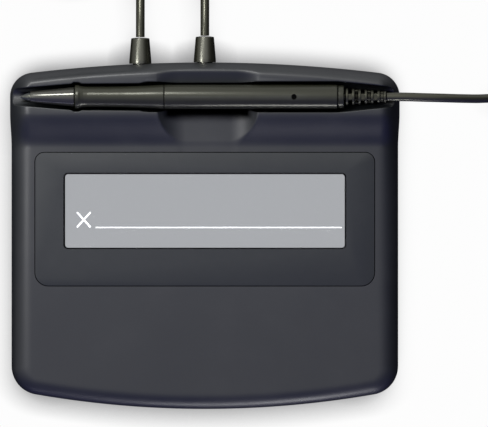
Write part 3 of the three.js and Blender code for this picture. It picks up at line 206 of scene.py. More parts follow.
# The plug from where its cord comes out: sizes of its blocks, and how far along each has its middle
PLUG_AT = (4.3, 170, 3.9)
GRIP_SIZE, GRIP_AT, GRIP_ROUND, GRIP_EDGE = (19, 15.6, 7.8), 18.5, 2.2, 0.6
SEAT_SIZE, SEAT_AT = (8, 12.6, 5.1), 28.7
DENT_SIZE, DENT_RISE, DENT_EDGE = (9, 11, 1), 4.2, 0.4
RIBS, RIB_START, RIB_PITCH, RIB_LOW, RIB_GAIN, RIB_DEEP = 3, 1.4, 2.4, 2.62, 0.16, 0.5
SHELL_SIZE, SHELL_AT, SHELL_ROUND, SHELL_BORE = (15, 12, 4.5), 32.5, 0.4, (30, 11.4, 3.9)
LATCH_SIZE, LATCH_AT, LATCH_SIDE, LATCH_EDGE = (1.9, 2.2, 9), 33.4, 2.8, 0.15


# Settings

def colour(name, default, description):
    return FloatVectorProperty(
        name=name, description=description, subtype="COLOR", size=3, min=0, max=1, default=default)


def length(name, default, description, low=0.0, high=2.0):
    return FloatProperty(
        name=name, description=description, unit="LENGTH", min=low, max=high, default=default, precision=5)


def share(name, default, description, high=1.0):
    return FloatProperty(
        name=name, description=description, subtype="FACTOR", min=0, max=high, default=default)


def power(name, default, description):
    return FloatProperty(name=name, description=description, unit="POWER", default=default)


class HousingSettings(bpy.types.PropertyGroup):
    """Sizes and finish of the moulded covers"""

    plastic: colour("Plastic", (0.0085, 0.0098, 0.0108), "Colour of the moulded covers")
    roughness: share("Roughness", 0.43, "How dull the moulded covers are")
    grain: length("Grain", 0.00055, "Size of the moulded grain", 0.0001, 0.005)
    grain_depth: length("Grain depth", 0.000012, "Height of the moulded grain", 0.0, 0.0005)
    lip: length("Lip rounding", 0.00045, "Rounding of the lips of the pen rest and the scoop", 0.0001, 0.001)
    rubber: colour("Rubber", (0.016, 0.016, 0.017), "Colour of the feet")


class DisplaySettings(bpy.types.PropertyGroup):
    """Sizes and finish of the display and its film"""

    film: colour("Film", (0.0065, 0.0084, 0.0096), "Colour of the film round the window")
    film_edge: length("Film edge", 0.0001, "Rounding of the film's edges", 0.0, 0.0002)
    face: colour("Display", (0.412, 0.417, 0.440), "Colour of the lit display")
    # The display's glow is partly its backlight and partly painted light in place of the lamps
    glow: share("Glow", 0.99, "Strength of the display's own light", 2.0)
    mark: colour("Mark", (1.0, 1.0, 1.0), "Colour of the signing line and its cross")
    line: length("Line", 0.00043, "Width of the signing line", 0.0001, 0.002)
    stroke: length("Cross stroke", 0.00064, "Width of the cross's strokes", 0.0001, 0.002)


class PenSettings(bpy.types.PropertyGroup):
    """Finish of the pen"""

    paint: colour("Paint", (0.020, 0.0205, 0.0140), "Colour of the pen's painted barrels")
    paint_roughness: share("Paint roughness", 0.25, "How dull the barrels are")
    nose: colour("Nose", (0.040, 0.040, 0.034), "Colour of the nose cone")
    nose_roughness: share("Nose roughness", 0.14, "How dull the nose cone is")
    nib: colour("Nib", (0.022, 0.024, 0.026), "Colour of the nib")
    relief: colour("Strain relief", (0.012, 0.012, 0.009), "Colour of the pen's strain relief")


class CordSettings(bpy.types.PropertyGroup):
    """Finish of the cords and boots"""

    sheath: colour("Sheath", (0.016, 0.016, 0.011), "Colour of the cords' sheath")
    sheath_roughness: share("Sheath roughness", 0.28, "How dull the sheath is")
    boot: colour("Boot", (0.008, 0.008, 0.005), "Colour of the cable boots")
    sides: IntProperty(name="Sides", description="Sides of a cord's round section", min=8, max=32, default=16)


class StudioSettings(bpy.types.PropertyGroup):
    """Camera, floor and lights"""

    lens: FloatProperty(
        name="Lens", description="Focal length in millimetres", min=35, max=2000, default=1200)
    aim: FloatVectorProperty(
        name="Aim", description="Point that the camera looks at", subtype="XYZ_LENGTH", size=3,
        default=(0.01566, 0.00888, 0.005))
    framed: length("Framed width", 0.1952, "Width that the picture takes in", 0.05, 1.0)
    floor: colour("Floor", (0.985, 0.985, 0.985), "Colour of the floor")
    contact: length("Contact shade", 0.011, "How far the soft shade on the floor reaches", 0.001, 0.1)
    key: power("Key light", 0.85, "Power of the key light")
    edge: power("Edge light", 0.5, "Power of the low front light")
    glint: power("Glint light", 0.5, "Power of the thin light level with the pen")
    line: power("Line light", 1.2, "Power of the thin light over the pen")
    room: share("Room light", 1.0, "Strength of the light from all round", 3.0)


class PadSettings(bpy.types.PropertyGroup):
    """All sizes and colours of the signature pad"""

    housing: PointerProperty(type=HousingSettings)
    display: PointerProperty(type=DisplaySettings)
    pen: PointerProperty(type=PenSettings)
    cord: PointerProperty(type=CordSettings)
    studio: PointerProperty(type=StudioSettings)


def settings():
    return bpy.context.scene.signature_pad


# Materials

NODE_START, NODE_STEP, NODE_DROP, GROUP_END = -1500, 220, 300, 400
BLACK = (0, 0, 0, 1)
RUBBED_TONE, DUST_TONE = (0.30, 0.31, 0.32, 1), (0.42, 0.41, 0.39, 1)
GLASS_TONE = (0.96, 0.975, 0.97, 1)
YELLOWISH = (1.0, 1.0, 0.75, 1)
RIM_FADE = 0.00008

# The two ways in which the floor looks for something that shades it, and how open each side counts
FLOOR_SIDES = (((0.34, 0.86, 0.40), 0.96), ((0.15, -0.52, 0.84), 1.10))
FLOOR_SHADE = (0.20, 0.20, 0.205, 1)


def feed(tree, socket, source):
    """Links a socket to another node's output, or sets its value"""
    if isinstance(source, bpy.types.NodeSocket):
        tree.links.new(source, socket)
    else:
        socket.default_value = source


def node(tree, kind, links=None, **values):
    """A node right of those that feed it, with its own properties set and its sockets linked or set"""
    made = tree.nodes.new(kind)
    for name, value in values.items():
        setattr(made, name, value)
    column = NODE_START
    for socket, source in (links or {}).items():
        feed(tree, made.inputs[socket], source)
        if isinstance(source, bpy.types.NodeSocket):
            column = max(column, source.node.location.x + NODE_STEP)
    row = sum(other.location.x == column for other in tree.nodes)
    made.location = (column, -row * NODE_DROP)
    return made


def maths(tree, operation, first, second, clamp=False):
    """What a Math node makes of two values"""
    made = node(tree, "ShaderNodeMath", {0: first, 1: second}, operation=operation, use_clamp=clamp)
    return made.outputs[0]


def vector_maths(tree, operation, *sources):
    """What a Vector Math node makes of its vectors"""
    made = node(tree, "ShaderNodeVectorMath", dict(enumerate(sources)), operation=operation)
    return made.outputs["Value" if operation in {"DOT_PRODUCT", "LENGTH"} else "Vector"]


def mapped(tree, value, start, end, low=0.0, high=1.0, eased=False):
    """A value that goes from low to high while another goes from start to end"""
    return node(tree, "ShaderNodeMapRange", {
        "Value": value, "From Min": start, "From Max": end, "To Min": low, "To Max": high},
        interpolation_type="SMOOTHSTEP" if eased else "LINEAR").outputs["Result"]


def noise(tree, at, scale, detail, roughness=0.5):
    """A cloudy pattern"""
    return node(tree, "ShaderNodeTexNoise", {
        "Vector": at, "Scale": scale, "Detail": detail, "Roughness": roughness}).outputs["Fac"]


def mix_colours(tree, factor, first, second):
    """A colour between two: a Mix node has its colours on sockets 6 and 7, and gives them on output 2"""
    return node(tree, "ShaderNodeMix", {0: factor, 6: first, 7: second}, data_type="RGBA").outputs[2]


def tinted(tone, amount):
    """A tone made stronger or weaker, as a colour"""
    return (*[min(1.0, value * amount) for value in tone], 1)


def shifting(tree, factor, tone, low, high):
    """A tone that shifts between two strengths"""
    return mix_colours(tree, factor, tinted(tone, low), tinted(tone, high))


def group(name, inputs, outputs):
    """An empty node group, with the sockets that it starts from and those that it ends in"""
    tree = bpy.data.node_groups.new(name, "ShaderNodeTree")
    for label, kind, default in inputs:
        socket = tree.interface.new_socket(label, in_out="INPUT", socket_type=f"NodeSocket{kind}")
        if default is not None:
            socket.default_value = default
    for label, kind in outputs:
        tree.interface.new_socket(label, in_out="OUTPUT", socket_type=f"NodeSocket{kind}")
    start = node(tree, "NodeGroupInput")
    end = node(tree, "NodeGroupOutput")
    end.location.x = GROUP_END
    return tree, start.outputs, end.inputs


def once(build):
    """Builds a node group the first time that a material asks for it"""
    made = {}

    def get():
        if build not in made or made[build].name not in bpy.data.node_groups:
            made[build] = build()
        return made[build]
    return get


def placed(tree, build, links=None):
    """The outputs of a node group that is placed in a material with its own values"""
    return node(tree, "ShaderNodeGroup", links, node_tree=build()).outputs


@once
def moulded_grain():
    """Fine moulded grain: its height, and a tone that shifts a little over a hand's breadth"""
    tree, start, end = group(
        "moulded_grain", [("Vector", "Vector", None), ("Grain Size", "Float", 0.0005)],
        [("Height", "Float"), ("Tone", "Float")])
    at = start["Vector"]
    scale = maths(tree, "DIVIDE", 1.0, start["Grain Size"])
    fine = noise(tree, at, scale, 2.0, 0.55)
    cells = node(tree, "ShaderNodeTexVoronoi", {"Vector": at, "Scale": scale}, feature="SMOOTH_F1")
    tree.links.new(maths(tree, "MULTIPLY", fine, cells.outputs["Distance"]), end["Height"])
    tree.links.new(noise(tree, at, 22.0, 3.0, 0.6), end["Tone"])
    return tree


@once
def handled_wear():
    """Edges rubbed a little paler, and a thin film of dust that settles unevenly"""
    tree, start, end = group(
        "handled_wear",
        [("Color", "Color", (0.5, 0.5, 0.5, 1)), ("Vector", "Vector", None), ("Edge Gain", "Float", 0.3),
         ("Dust Gain", "Float", 0.05)],
        [("Color", "Color")])
    shape = node(tree, "ShaderNodeNewGeometry")
    edges = mapped(tree, shape.outputs["Pointiness"], 0.52, 0.60)
    rubbed = maths(tree, "MULTIPLY", edges, noise(tree, start["Vector"], 260.0, 4.0, 0.6))
    edge_part = maths(tree, "MULTIPLY", rubbed, start["Edge Gain"], clamp=True)
    patches = mapped(tree, noise(tree, start["Vector"], 40.0, 5.0, 0.7), 0.5, 0.8)
    dust_part = maths(tree, "MULTIPLY", patches, start["Dust Gain"], clamp=True)
    rubbed_colour = mix_colours(tree, edge_part, start["Color"], RUBBED_TONE)
    tree.links.new(mix_colours(tree, dust_part, rubbed_colour, DUST_TONE), end["Color"])
    return tree


@once
def crevice_shade():
    """A painted shade mask that falls to nothing deep in gaps and grooves"""
    tree, start, end = group(
        "crevice_shade",
        [("Reach", "Float", 0.006), ("Black", "Float", 0.15), ("Open", "Float", 0.55)], [("Mask", "Float")])
    near = node(tree, "ShaderNodeAmbientOcclusion", {"Distance": start["Reach"]}, samples=8)
    spread = mapped(tree, near.outputs["AO"], start["Black"], start["Open"], eased=True)
    tree.links.new(spread, end["Mask"])
    return tree


@once
def thrown_shade():
    """A painted shadow mask that falls to nothing on level ground close in front of something that stands over
    it
    """
    tree, start, end = group(
        "thrown_shade",
        [("Reach", "Float", 0.012), ("Lean", "Vector", (0, 1, 0)), ("Black", "Float", 0.34),
         ("Open", "Float", 0.53)],
        [("Mask", "Float")])
    normal = node(tree, "ShaderNodeNewGeometry").outputs["Normal"]
    upward = node(tree, "ShaderNodeSeparateXYZ", {0: normal}).outputs["Z"]
    steep = mapped(tree, upward, 0.72, 0.86, 1.0, 0.0)
    leaning = vector_maths(tree, "ADD", normal, start["Lean"])
    facing = vector_maths(tree, "NORMALIZE", leaning)
    near = node(tree, "ShaderNodeAmbientOcclusion", {
        "Distance": start["Reach"], "Normal": facing}, samples=48)
    spread = mapped(tree, near.outputs["AO"], start["Black"], start["Open"], eased=True)
    tree.links.new(maths(tree, "MAXIMUM", spread, steep), end["Mask"])
    return tree


@once
def brushed_streaks():
    """Fine drawn lines along a chosen direction, as height and tone"""
    tree, start, end = group(
        "brushed_streaks", [("Vector", "Vector", None), ("Stretch", "Vector", (1, 1, 1))],
        [("Height", "Float"), ("Tone", "Float")])
    stretched = vector_maths(tree, "MULTIPLY", start["Vector"], start["Stretch"])
    tree.links.new(noise(tree, stretched, 1.0, 3.0, 0.6), end["Height"])
    tree.links.new(noise(tree, start["Vector"], 60.0, 2.0), end["Tone"])
    return tree


def surface(name, **sockets):
    """A material, its tree, its shader's inputs with their uniform values set, and its object coordinates"""
    material = bpy.data.materials.new(name)
    material.use_nodes = True
    tree = material.node_tree
    shader = tree.nodes["Principled BSDF"].inputs
    for socket, value in sockets.items():
        shader[socket.replace("_", " ")].default_value = value
    return material, tree, shader, node(tree, "ShaderNodeTexCoord").outputs["Object"]


def coat(tree, shader, colour, mask, roughness, relief=None):
    """Gives a shader its colour, a roughness that follows a mask, and a relief of a height and a depth"""
    tree.links.new(colour, shader["Base Color"])
    tree.links.new(mapped(tree, mask, 0.3, 0.7, *roughness), shader["Roughness"])
    if relief:
        height, depth = relief
        made = node(tree, "ShaderNodeBump", {"Height": height, "Distance": depth, "Strength": 1.0})
        tree.links.new(made.outputs["Normal"], shader["Normal"])


def darken_crevices(tree, shader, gloss, reach, black=0.15, clear=0.55, thrown=False):
    """Paints shade: takes a material's colour and gloss down to black deep in its gaps"""
    mask = placed(tree, crevice_shade, {"Reach": reach, "Black": black, "Open": clear})["Mask"]
    if thrown:
        mask = maths(tree, "MINIMUM", mask, placed(tree, thrown_shade)["Mask"])
    lit = shader["Base Color"].links[0].from_socket
    tree.links.new(mix_colours(tree, mask, BLACK, lit), shader["Base Color"])
    shader["Specular IOR Level"].default_value = gloss
    tree.links.new(mapped(tree, mask, 0.0, 1.0, 0.0, gloss), shader["Specular IOR Level"])


def grained_plastic(
        name, tone, roughness, grain, depth, edge_gain=0.04, dust=0.01, spread=0.05, gloss=0.5, crevice=None,
        **sockets):
    """Moulded plastic: fine grain, a tone that shifts slightly, rubbed edges and a trace of dust"""
    material, tree, shader, at = surface(name, **sockets)
    moulded = placed(tree, moulded_grain, {"Vector": at, "Grain Size": grain})
    worn = placed(tree, handled_wear, {
        "Color": shifting(tree, moulded["Tone"], tone, 0.92, 1.08), "Vector": at, "Edge Gain": edge_gain,
        "Dust Gain": dust})
    coat(tree, shader, worn["Color"], moulded["Tone"], (roughness - spread, roughness + spread),
         (moulded["Height"], depth))
    # A crevice setting paints shade deep in the material's gaps
    if crevice:
        darken_crevices(tree, shader, gloss, **crevice)
    else:
        shader["Specular IOR Level"].default_value = gloss
    return material


def rubber(name, tone, roughness=0.7, depth=0.00002, dust=0.03, **others):
    """Dull moulded rubber with a dusty bloom"""
    return grained_plastic(
        name, tone, roughness, 0.0007, depth, edge_gain=0.05, dust=dust, spread=0.07, **others)


def painted(name, tone, roughness, metallic, gloss):
    """Satin paint with fine metal flake"""
    material, tree, shader, at = surface(name, Metallic=metallic, Specular_Tint=(1.0, 1.0, 0.92, 1))
    flakes = node(tree, "ShaderNodeTexVoronoi", {"Vector": at, "Scale": 6500.0})
    glint = shifting(tree, flakes.outputs["Distance"], tone, 1.12, 0.9)
    moulded = placed(tree, moulded_grain, {"Vector": at, "Grain Size": 0.0004})
    worn = placed(tree, handled_wear, {
        "Color": glint, "Vector": at, "Edge Gain": 0.06, "Dust Gain": 0.006})
    coat(tree, shader, worn["Color"], moulded["Tone"], (roughness - 0.02, roughness + 0.02),
         (moulded["Height"], 0.000001))
    # Painted shade: the paint's colour and gloss go to black deep in its gaps
    darken_crevices(tree, shader, gloss, 0.0016)
    return material


def brushed_metal(name, tone, roughness, stretch):
    """Drawn or plated metal with fine lines along it"""
    material, tree, shader, at = surface(name, Metallic=1.0)
    lines = placed(tree, brushed_streaks, {"Vector": at, "Stretch": stretch})
    coat(tree, shader, shifting(tree, lines["Tone"], tone, 0.85, 1.1), lines["Height"],
         (roughness - 0.07, roughness + 0.1), (lines["Height"], 0.000008))
    return material


def sheath(name, tone, roughness):
    """Extruded cord sheath with a slight waviness of tone"""
    material, tree, shader, at = surface(name, Specular_Tint=(1.0, 1.0, 0.8, 1))
    wave = placed(tree, moulded_grain, {"Vector": at, "Grain Size": 0.0009})
    coat(tree, shader, shifting(tree, wave["Tone"], tone, 0.88, 1.1), wave["Tone"],
         (roughness - 0.05, roughness + 0.06), (wave["Height"], 0.00001))
    return material


def within_plate(tree, at, middle, half, radius):
    """A mask that is one inside an upright plate with round corners, and fades within a hair of its rim"""
    inner = [reach - radius for reach in half]
    apart = vector_maths(tree, "SUBTRACT", at, middle)
    flat = vector_maths(tree, "MULTIPLY", apart, (1, 1, 0))
    folded = vector_maths(tree, "ABSOLUTE", flat)
    past = vector_maths(tree, "SUBTRACT", folded, (*inner, 0))
    beyond = vector_maths(tree, "MAXIMUM", past, (0, 0, 0))
    away = vector_maths(tree, "LENGTH", beyond)
    return mapped(tree, away, radius - RIM_FADE, radius + RIM_FADE, 1.0, 0.0)


def display_face(tone, glow):
    """The liquid crystal face, its faint grid of dots, and a glow that is partly backlight and partly painted
    light
    """
    material, tree, shader, at = surface(
        "display_grey", Roughness=0.42, Specular_IOR_Level=0.05, Emission_Strength=glow)
    dots = node(tree, "ShaderNodeTexBrick", {
        "Vector": at, "Scale": 1.0, "Mortar Size": 0.000018, "Mortar Smooth": 0.5, "Brick Width": 0.00035,
        "Row Height": 0.00037, "Color1": tinted(tone, 1.0), "Color2": tinted(tone, 1.0),
        "Mortar": tinted(tone, 0.98)}, offset=0.0)
    cloud = noise(tree, at, 14.0, 2.0)
    face = mix_colours(tree, cloud, dots.outputs["Color"], tinted(tone, 0.985))
    # The glow stops a hair inside the film's opening, leaving a thin dark rim of painted shade from the film's
    # edge
    inside = within_plate(tree, at, DISPLAY_MIDDLE, DISPLAY_HALF, DISPLAY_CORNER)
    tree.links.new(mix_colours(tree, inside, BLACK, face), shader["Emission Color"])
    # Its own colour is kept near black, so that its glow, which stands in for the lamps as well as the
    # backlight, gives all its brightness
    dark = mix_colours(tree, cloud, (0.002, 0.002, 0.002, 1), (0.003, 0.003, 0.003, 1))
    tree.links.new(dark, shader["Base Color"])
    return material


def printed_mark(tone):
    """White signing marks that glow as the display does, partly backlight and partly painted light"""
    material, tree, shader, at = surface("display_mark", Roughness=0.5, Emission_Strength=0.95)
    face = shifting(tree, noise(tree, at, 300.0, 2.0), tone, 0.96, 1.0)
    tree.links.new(face, shader["Emission Color"])
    tree.links.new(face, shader["Base Color"])
    return material


def clear_sheet(name, roughness, bend=1.47):
    """Clear glass or acrylic with a trace of fingerprints. A low bend stands for a coated face."""
    material, tree, shader, at = surface(name, Transmission_Weight=1.0, IOR=bend)
    prints = placed(tree, handled_wear, {
        "Color": GLASS_TONE, "Vector": at, "Edge Gain": 0.0, "Dust Gain": 0.01})
    coat(tree, shader, prints["Color"], noise(tree, at, 55.0, 4.0), (roughness, roughness + 0.05))
    return material


def circuit_board(name):
    """Solder mask over copper, with tracks that show as faint ridges"""
    material, tree, shader, at = surface(name)
    tracks = node(tree, "ShaderNodeTexBrick", {
        "Vector": at, "Scale": 1.0, "Mortar Size": 0.00016, "Brick Width": 0.0041, "Row Height": 0.0017,
        "Color1": (0.008, 0.075, 0.025, 1), "Color2": (0.010, 0.090, 0.032, 1),
        "Mortar": (0.03, 0.16, 0.06, 1)}).outputs
    coat(tree, shader, tracks["Color"], noise(tree, at, 900.0, 2.0), (0.3, 0.42), (tracks["Fac"], 0.00003))
    return material


def floor_white(tone, contact):
    """A pale floor that shines by itself, and is darker where something stands close to it"""
    material, tree, shader, at = surface(
        "floor_white", Roughness=0.9, Base_Color=BLACK, Specular_IOR_Level=0.0, Emission_Strength=1.0)
    open_sides = []
    for way, gain in FLOOR_SIDES:
        leaning = node(tree, "ShaderNodeNormal").outputs["Normal"]
        leaning.default_value = Vector(way).normalized()
        seen = node(tree, "ShaderNodeAmbientOcclusion", {"Distance": contact, "Normal": leaning}, samples=24)
        open_sides.append(maths(tree, "MULTIPLY", seen.outputs["AO"], gain))
    clear = mapped(tree, maths(tree, "MINIMUM", *open_sides), 0.10, 0.97, eased=True)
    even = shifting(tree, noise(tree, at, 3.0, 2.0), tone, 0.995, 1.0)
    tree.links.new(mix_colours(tree, clear, FLOOR_SHADE, even), shader["Emission Color"])
    return material


# Shapes

def smooth(value):
    value = min(max(value, 0), 1)
    return value * value * (3 - 2 * value)


def ridge_share(y):
    return smooth((y - RIDGE_FOOT) / RIDGE_SLOPE)


def deck_height(y):
    return FRONT_HEIGHT + math.tan(DECK_TILT) * (y + BACK_Y)


def top_height(y):
    return deck_height(y) + RIDGE_RISE * ridge_share(y)


def wall_y(x):
    return BACK_Y - BACK_BOW + math.sqrt(BACK_BOW ** 2 - x ** 2)


def half_outline(bow_steps=18, corner_steps=14, slope_steps=20):
    """The right half of the housing's outline from front to back, with its outward directions"""
    def end(half, radius, bow, sign):
        x = half - radius
        y = BACK_Y - bow + math.sqrt((bow - radius) ** 2 - x ** 2)
        turn = math.asin(x / (bow - radius))
        bowed = [turn * i / bow_steps for i in range(bow_steps)]
        corner = [turn + (math.pi / 2 - turn) * i / corner_steps for i in range(corner_steps + 1)]
        points = [(bow * math.sin(a), BACK_Y - bow * (1 - math.cos(a)), a) for a in bowed]
        points += [(x + radius * math.sin(a), y + radius * math.cos(a), a) for a in corner]
        return [(px, sign * py, math.sin(a), sign * math.cos(a)) for px, py, a in points]

    slope = []
    for i in range(slope_steps):
        y = RIDGE_FOOT + RIDGE_SLOPE * i / slope_steps
        slope.append((BODY_WIDTH / 2 + (RIDGE_WIDTH - BODY_WIDTH) / 2 * ridge_share(y), y, 1.0, 0.0))
    front = end(BODY_WIDTH / 2, FRONT_CORNER, FRONT_BOW, -1)
    back = end(RIDGE_WIDTH / 2, BACK_CORNER, BACK_BOW, 1)
    return front + slope + back[::-1]


def full_outline():
    right = half_outline()
    left = [(-x, y, -nx, ny) for x, y, nx, ny in right[1:-1]]
    return right + left[::-1]


def wrapped(bm, rings, layers=None):
    """A sheet through closed rings of points, from a grid whose seam is merged, with values on its corners"""
    count, last = len(rings[0]), len(rings) - 1
    made = bmesh.ops.create_grid(bm, x_segments=count, y_segments=last, size=1)["verts"]
    for vert in made:
        i = round((vert.co.x + 1) / 2 * count) % count
        k = round((vert.co.y + 1) / 2 * last)
        for layer, values in (layers or {}).items():
            vert[layer] = values[k][i]
        vert.co = rings[k][i]
    bmesh.ops.remove_doubles(bm, verts=made, dist=1e-5)


def close_holes(bm):
    """Closes each open loop with one flat face"""
    rim = {edge for edge in bm.edges if edge.is_boundary}
    while rim:
        loop, stack = [], [next(iter(rim))]
        while stack:
            edge = stack.pop()
            if edge not in rim:
                continue
            rim.discard(edge)
            loop.append(edge)
            stack += [other for vert in edge.verts for other in vert.link_edges if other in rim]
        bmesh.ops.contextual_create(bm, geom=loop)


def region(bm, inside):
    """The faces whose middle is inside, with their edges and corners"""
    faces = [face for face in bm.faces if inside(face.calc_center_median())]
    edges = {edge for face in faces for edge in face.edges}
    verts = {vert for face in faces for vert in face.verts}
    return [*verts, *edges, *faces]


def sliced(bm, geometry, lines):
    """Cuts edges and faces where upright planes cross them; each plane is a point and its direction across"""
    for (x, y), (across_x, across_y) in lines:
        geometry = bmesh.ops.bisect_plane(
            bm, geom=geometry, dist=1e-4, plane_co=(x, y, 0), plane_no=(across_x, across_y, 0),
            clear_inner=False, clear_outer=False)["geom"]


def rows(places):
    return [((0, y), (0, 1)) for y in places]


def columns(places):
    return [((x, 0), (1, 0)) for x in places]


def steps(start, end, pitch):
    count = max(1, round((end - start) / pitch))
    return [start + (end - start) * i / count for i in range(count + 1)]


def linked(name, data):
    """An object of a mesh, curve, camera or light, put in the scene"""
    made = bpy.data.objects.new(name, data)
    bpy.context.scene.collection.objects.link(made)
    return made


def as_mesh(name, bm):
    """A mesh of a bmesh, which is freed"""
    mesh = bpy.data.meshes.new(name)
    bm.to_mesh(mesh)
    bm.free()
    return mesh


def finished(name, bm, material, sharp=32, body="housing", replaces=()):
    """Turns a bmesh in millimetres into a named piece, as settled does"""
    bmesh.ops.recalc_face_normals(bm, faces=bm.faces)
    return settled(name, as_mesh(name, bm), material, sharp, body, replaces)


def settled(name, mesh, material, sharp=32, body="housing", replaces=()):
    """Turns a mesh in millimetres into a named piece in metres that rides on a body"""
    mesh.transform(Matrix.Scale(MM, 4))
    mesh.shade_smooth()
    mesh.set_sharp_from_angle(angle=math.radians(sharp))
    mesh.materials.clear()
    mesh.materials.append(material)
    piece = linked(name, mesh)
    if body:
        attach(piece, body)
    if replaces:
        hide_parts(*replaces)
    return piece


def carved(bm, added=(), taken=()):
    """A mesh after some bmeshes are joined to it, and then others taken from it"""
    def as_object(name, source):
        bmesh.ops.recalc_face_normals(source, faces=source.faces)
        return linked(name, as_mesh(name, source))

    body = as_object("carving_body", bm)
    tools = []
    cutters = [(cutter, "UNION") for cutter in added] + [(cutter, "DIFFERENCE") for cutter in taken]
    for i, (cutter, operation) in enumerate(cutters):
        tool = as_object(f"carving_tool_{i}", cutter)
        modifier = body.modifiers.new(f"carve_{i}", "BOOLEAN")
        modifier.operation = operation
        modifier.solver = "MANIFOLD"
        modifier.object = tool
        tools.append(tool)
    bpy.context.view_layer.update()
    depsgraph = bpy.context.evaluated_depsgraph_get()
    mesh = bpy.data.meshes.new_from_object(body.evaluated_get(depsgraph))
    for made in [body, *tools]:
        old = made.data
        bpy.data.objects.remove(made)
        bpy.data.meshes.remove(old)
    return mesh


def rounded(profile, segments=4):
    """A profile whose points may carry a third value, the radius that rounds that corner"""
    points = []
    for i, point in enumerate(profile):
        radius = point[2] if len(point) > 2 else 0
        here = Vector(point[:2])
        if not radius:
            points.append(tuple(here))
            continue
        before = Vector(profile[i - 1][:2])
        after = Vector(profile[(i + 1) % len(profile)][:2])
        into, out = (here - before), (after - here)
        turn = into.angle(out)
        reach = min(radius * math.tan(turn / 2), into.length * 0.49, out.length * 0.49)
        start, end = here - into.normalized() * reach, here + out.normalized() * reach
        for k in range(segments + 1):
            t = k / segments
            points.append(tuple(start * (1 - t) ** 2 + here * (2 * t * (1 - t)) + end * t ** 2))
    return points


def turned(profile, at, axis, count):
    """Spins a closed profile of (along, radius) pairs round an axis through a point"""
    ways = {"X": (Vector((1, 0, 0)), Vector((0, 0, 1))), "Y": (Vector((0, 1, 0)), Vector((0, 0, 1))),
            "Z": (Vector((0, 0, 1)), Vector((1, 0, 0)))}
    along, out = ways[axis]
    places = rounded(profile)
    bm = bmesh.new()
    verts = [bm.verts.new(Vector(at) + along * a + out * r) for a, r in places]
    pairs = list(zip(verts, verts[1:]))
    if places[0][1] > 1e-6:
        pairs.append((verts[-1], verts[0]))
    edges = [bm.edges.new(pair) for pair in pairs]
    bmesh.ops.spin(
        bm, geom=[*verts, *edges], cent=at, axis=along, angle=2 * math.pi, steps=count,
        use_merge=True, use_duplicate=False)
    bmesh.ops.remove_doubles(bm, verts=bm.verts, dist=1e-4)
    bmesh.ops.dissolve_degenerate(bm, dist=1e-5, edges=bm.edges)
    return bm


def rod(radius, bottom, top, x, y):
    """A plain upright round cutter"""
    return turned([(bottom, 0), (bottom, radius), (top, radius), (top, 0)], (x, y, 0), "Z", 48)


def bevelled(bm, geometry, offset, segments, affect="EDGES"):
    """Rounds some edges or corners"""
    bmesh.ops.bevel(
        bm, geom=geometry, offset=offset, segments=segments, profile=0.5, affect=affect, material=-1)


def block(size, middle, bevel=0):
    """A box with its size and middle, its edges bevelled"""
    bm = bmesh.new()
    bmesh.ops.create_cube(bm, size=1)
    bmesh.ops.scale(bm, vec=size, verts=bm.verts)
    bmesh.ops.translate(bm, vec=middle, verts=bm.verts)
    if bevel:
        bevelled(bm, bm.edges[:], bevel, 2)
    return bm


def plate(width, depth, bottom, top, back_radius, front_radius=None, middle=(0, 0), edge=0):
    """An upright prism on a rectangle with round corners, its upper edge bevelled"""
    bm = bmesh.new()
    bmesh.ops.create_grid(bm, x_segments=1, y_segments=1, size=0.5)
    bmesh.ops.scale(bm, vec=(width, depth, 1), verts=bm.verts)
    front_radius = back_radius if front_radius is None else front_radius
    for side, radius in ((1, back_radius), (-1, front_radius)):
        corners = [vert for vert in bm.verts if abs(vert.co.x) > width / 2 - 1e-4
                   and side * vert.co.y > depth / 2 - 1e-4]
        bevelled(bm, corners, radius, 10, "VERTICES")
    bmesh.ops.translate(bm, vec=(*middle, bottom), verts=bm.verts)
    raised = bmesh.ops.extrude_face_region(bm, geom=bm.faces[:], use_keep_orig=True)["geom"]
    top_verts = [item for item in raised if isinstance(item, bmesh.types.BMVert)]
    bmesh.ops.translate(bm, vec=(0, 0, top - bottom), verts=top_verts)
    bmesh.ops.recalc_face_normals(bm, faces=bm.faces)
    if edge:
        rim = [e for e in bm.edges if all(v.co.z > top - 1e-5 for v in e.verts)]
        bevelled(bm, rim, edge, 2)
    return bm


def on_deck(bm):
    """Moves a bmesh from the display's own frame, tilted with the deck, to its place"""
    place = Matrix.Translation((0, WINDOW_Y, deck_height(WINDOW_Y)))
    bmesh.ops.transform(bm, matrix=place @ Matrix.Rotation(DECK_TILT, 4, "X"), verts=bm.verts)
    return bm


# Top cover

def soft_least(a, b, width):
    """The smaller of two heights, blended where they are within a width of each other"""
    if abs(a - b) >= width:
        return min(a, b)
    h = 0.5 + 0.5 * (b - a) / width
    return b * (1 - h) + a * h - width * h * (1 - h)


def scoop_rise(x, y):
    """How far the scoop's wall stands above its floor over a point"""
    lip = RIDGE_RISE + 3
    across = abs(x - SCOOP_X)

    def inside(rise):
        within = min(rise, SCOOP_SIDE)
        half = SCOOP_HALF + math.sqrt(2 * SCOOP_SIDE * within - within ** 2)
        back = SCOOP_BACK_FOOT + SCOOP_BACK_RUN * max(0, rise - SCOOP_BACK_RISE)
        radius = SCOOP_LOW + (SCOOP_HIGH - SCOOP_LOW) * min(rise / RIDGE_RISE, 1)
        dx, dy = across - (half - radius), y - (back - radius)
        if dx > 0 and dy > 0:
            return dx * dx + dy * dy <= radius * radius
        return across <= half and y <= back

    if inside(0):
        return 0
    if not inside(lip):
        return lip
    low, high = 0.0, lip
    for _ in range(SCOOP_TRIES):
        middle = (low + high) / 2
        low, high = (low, middle) if inside(middle) else (middle, high)
    return (low + high) / 2


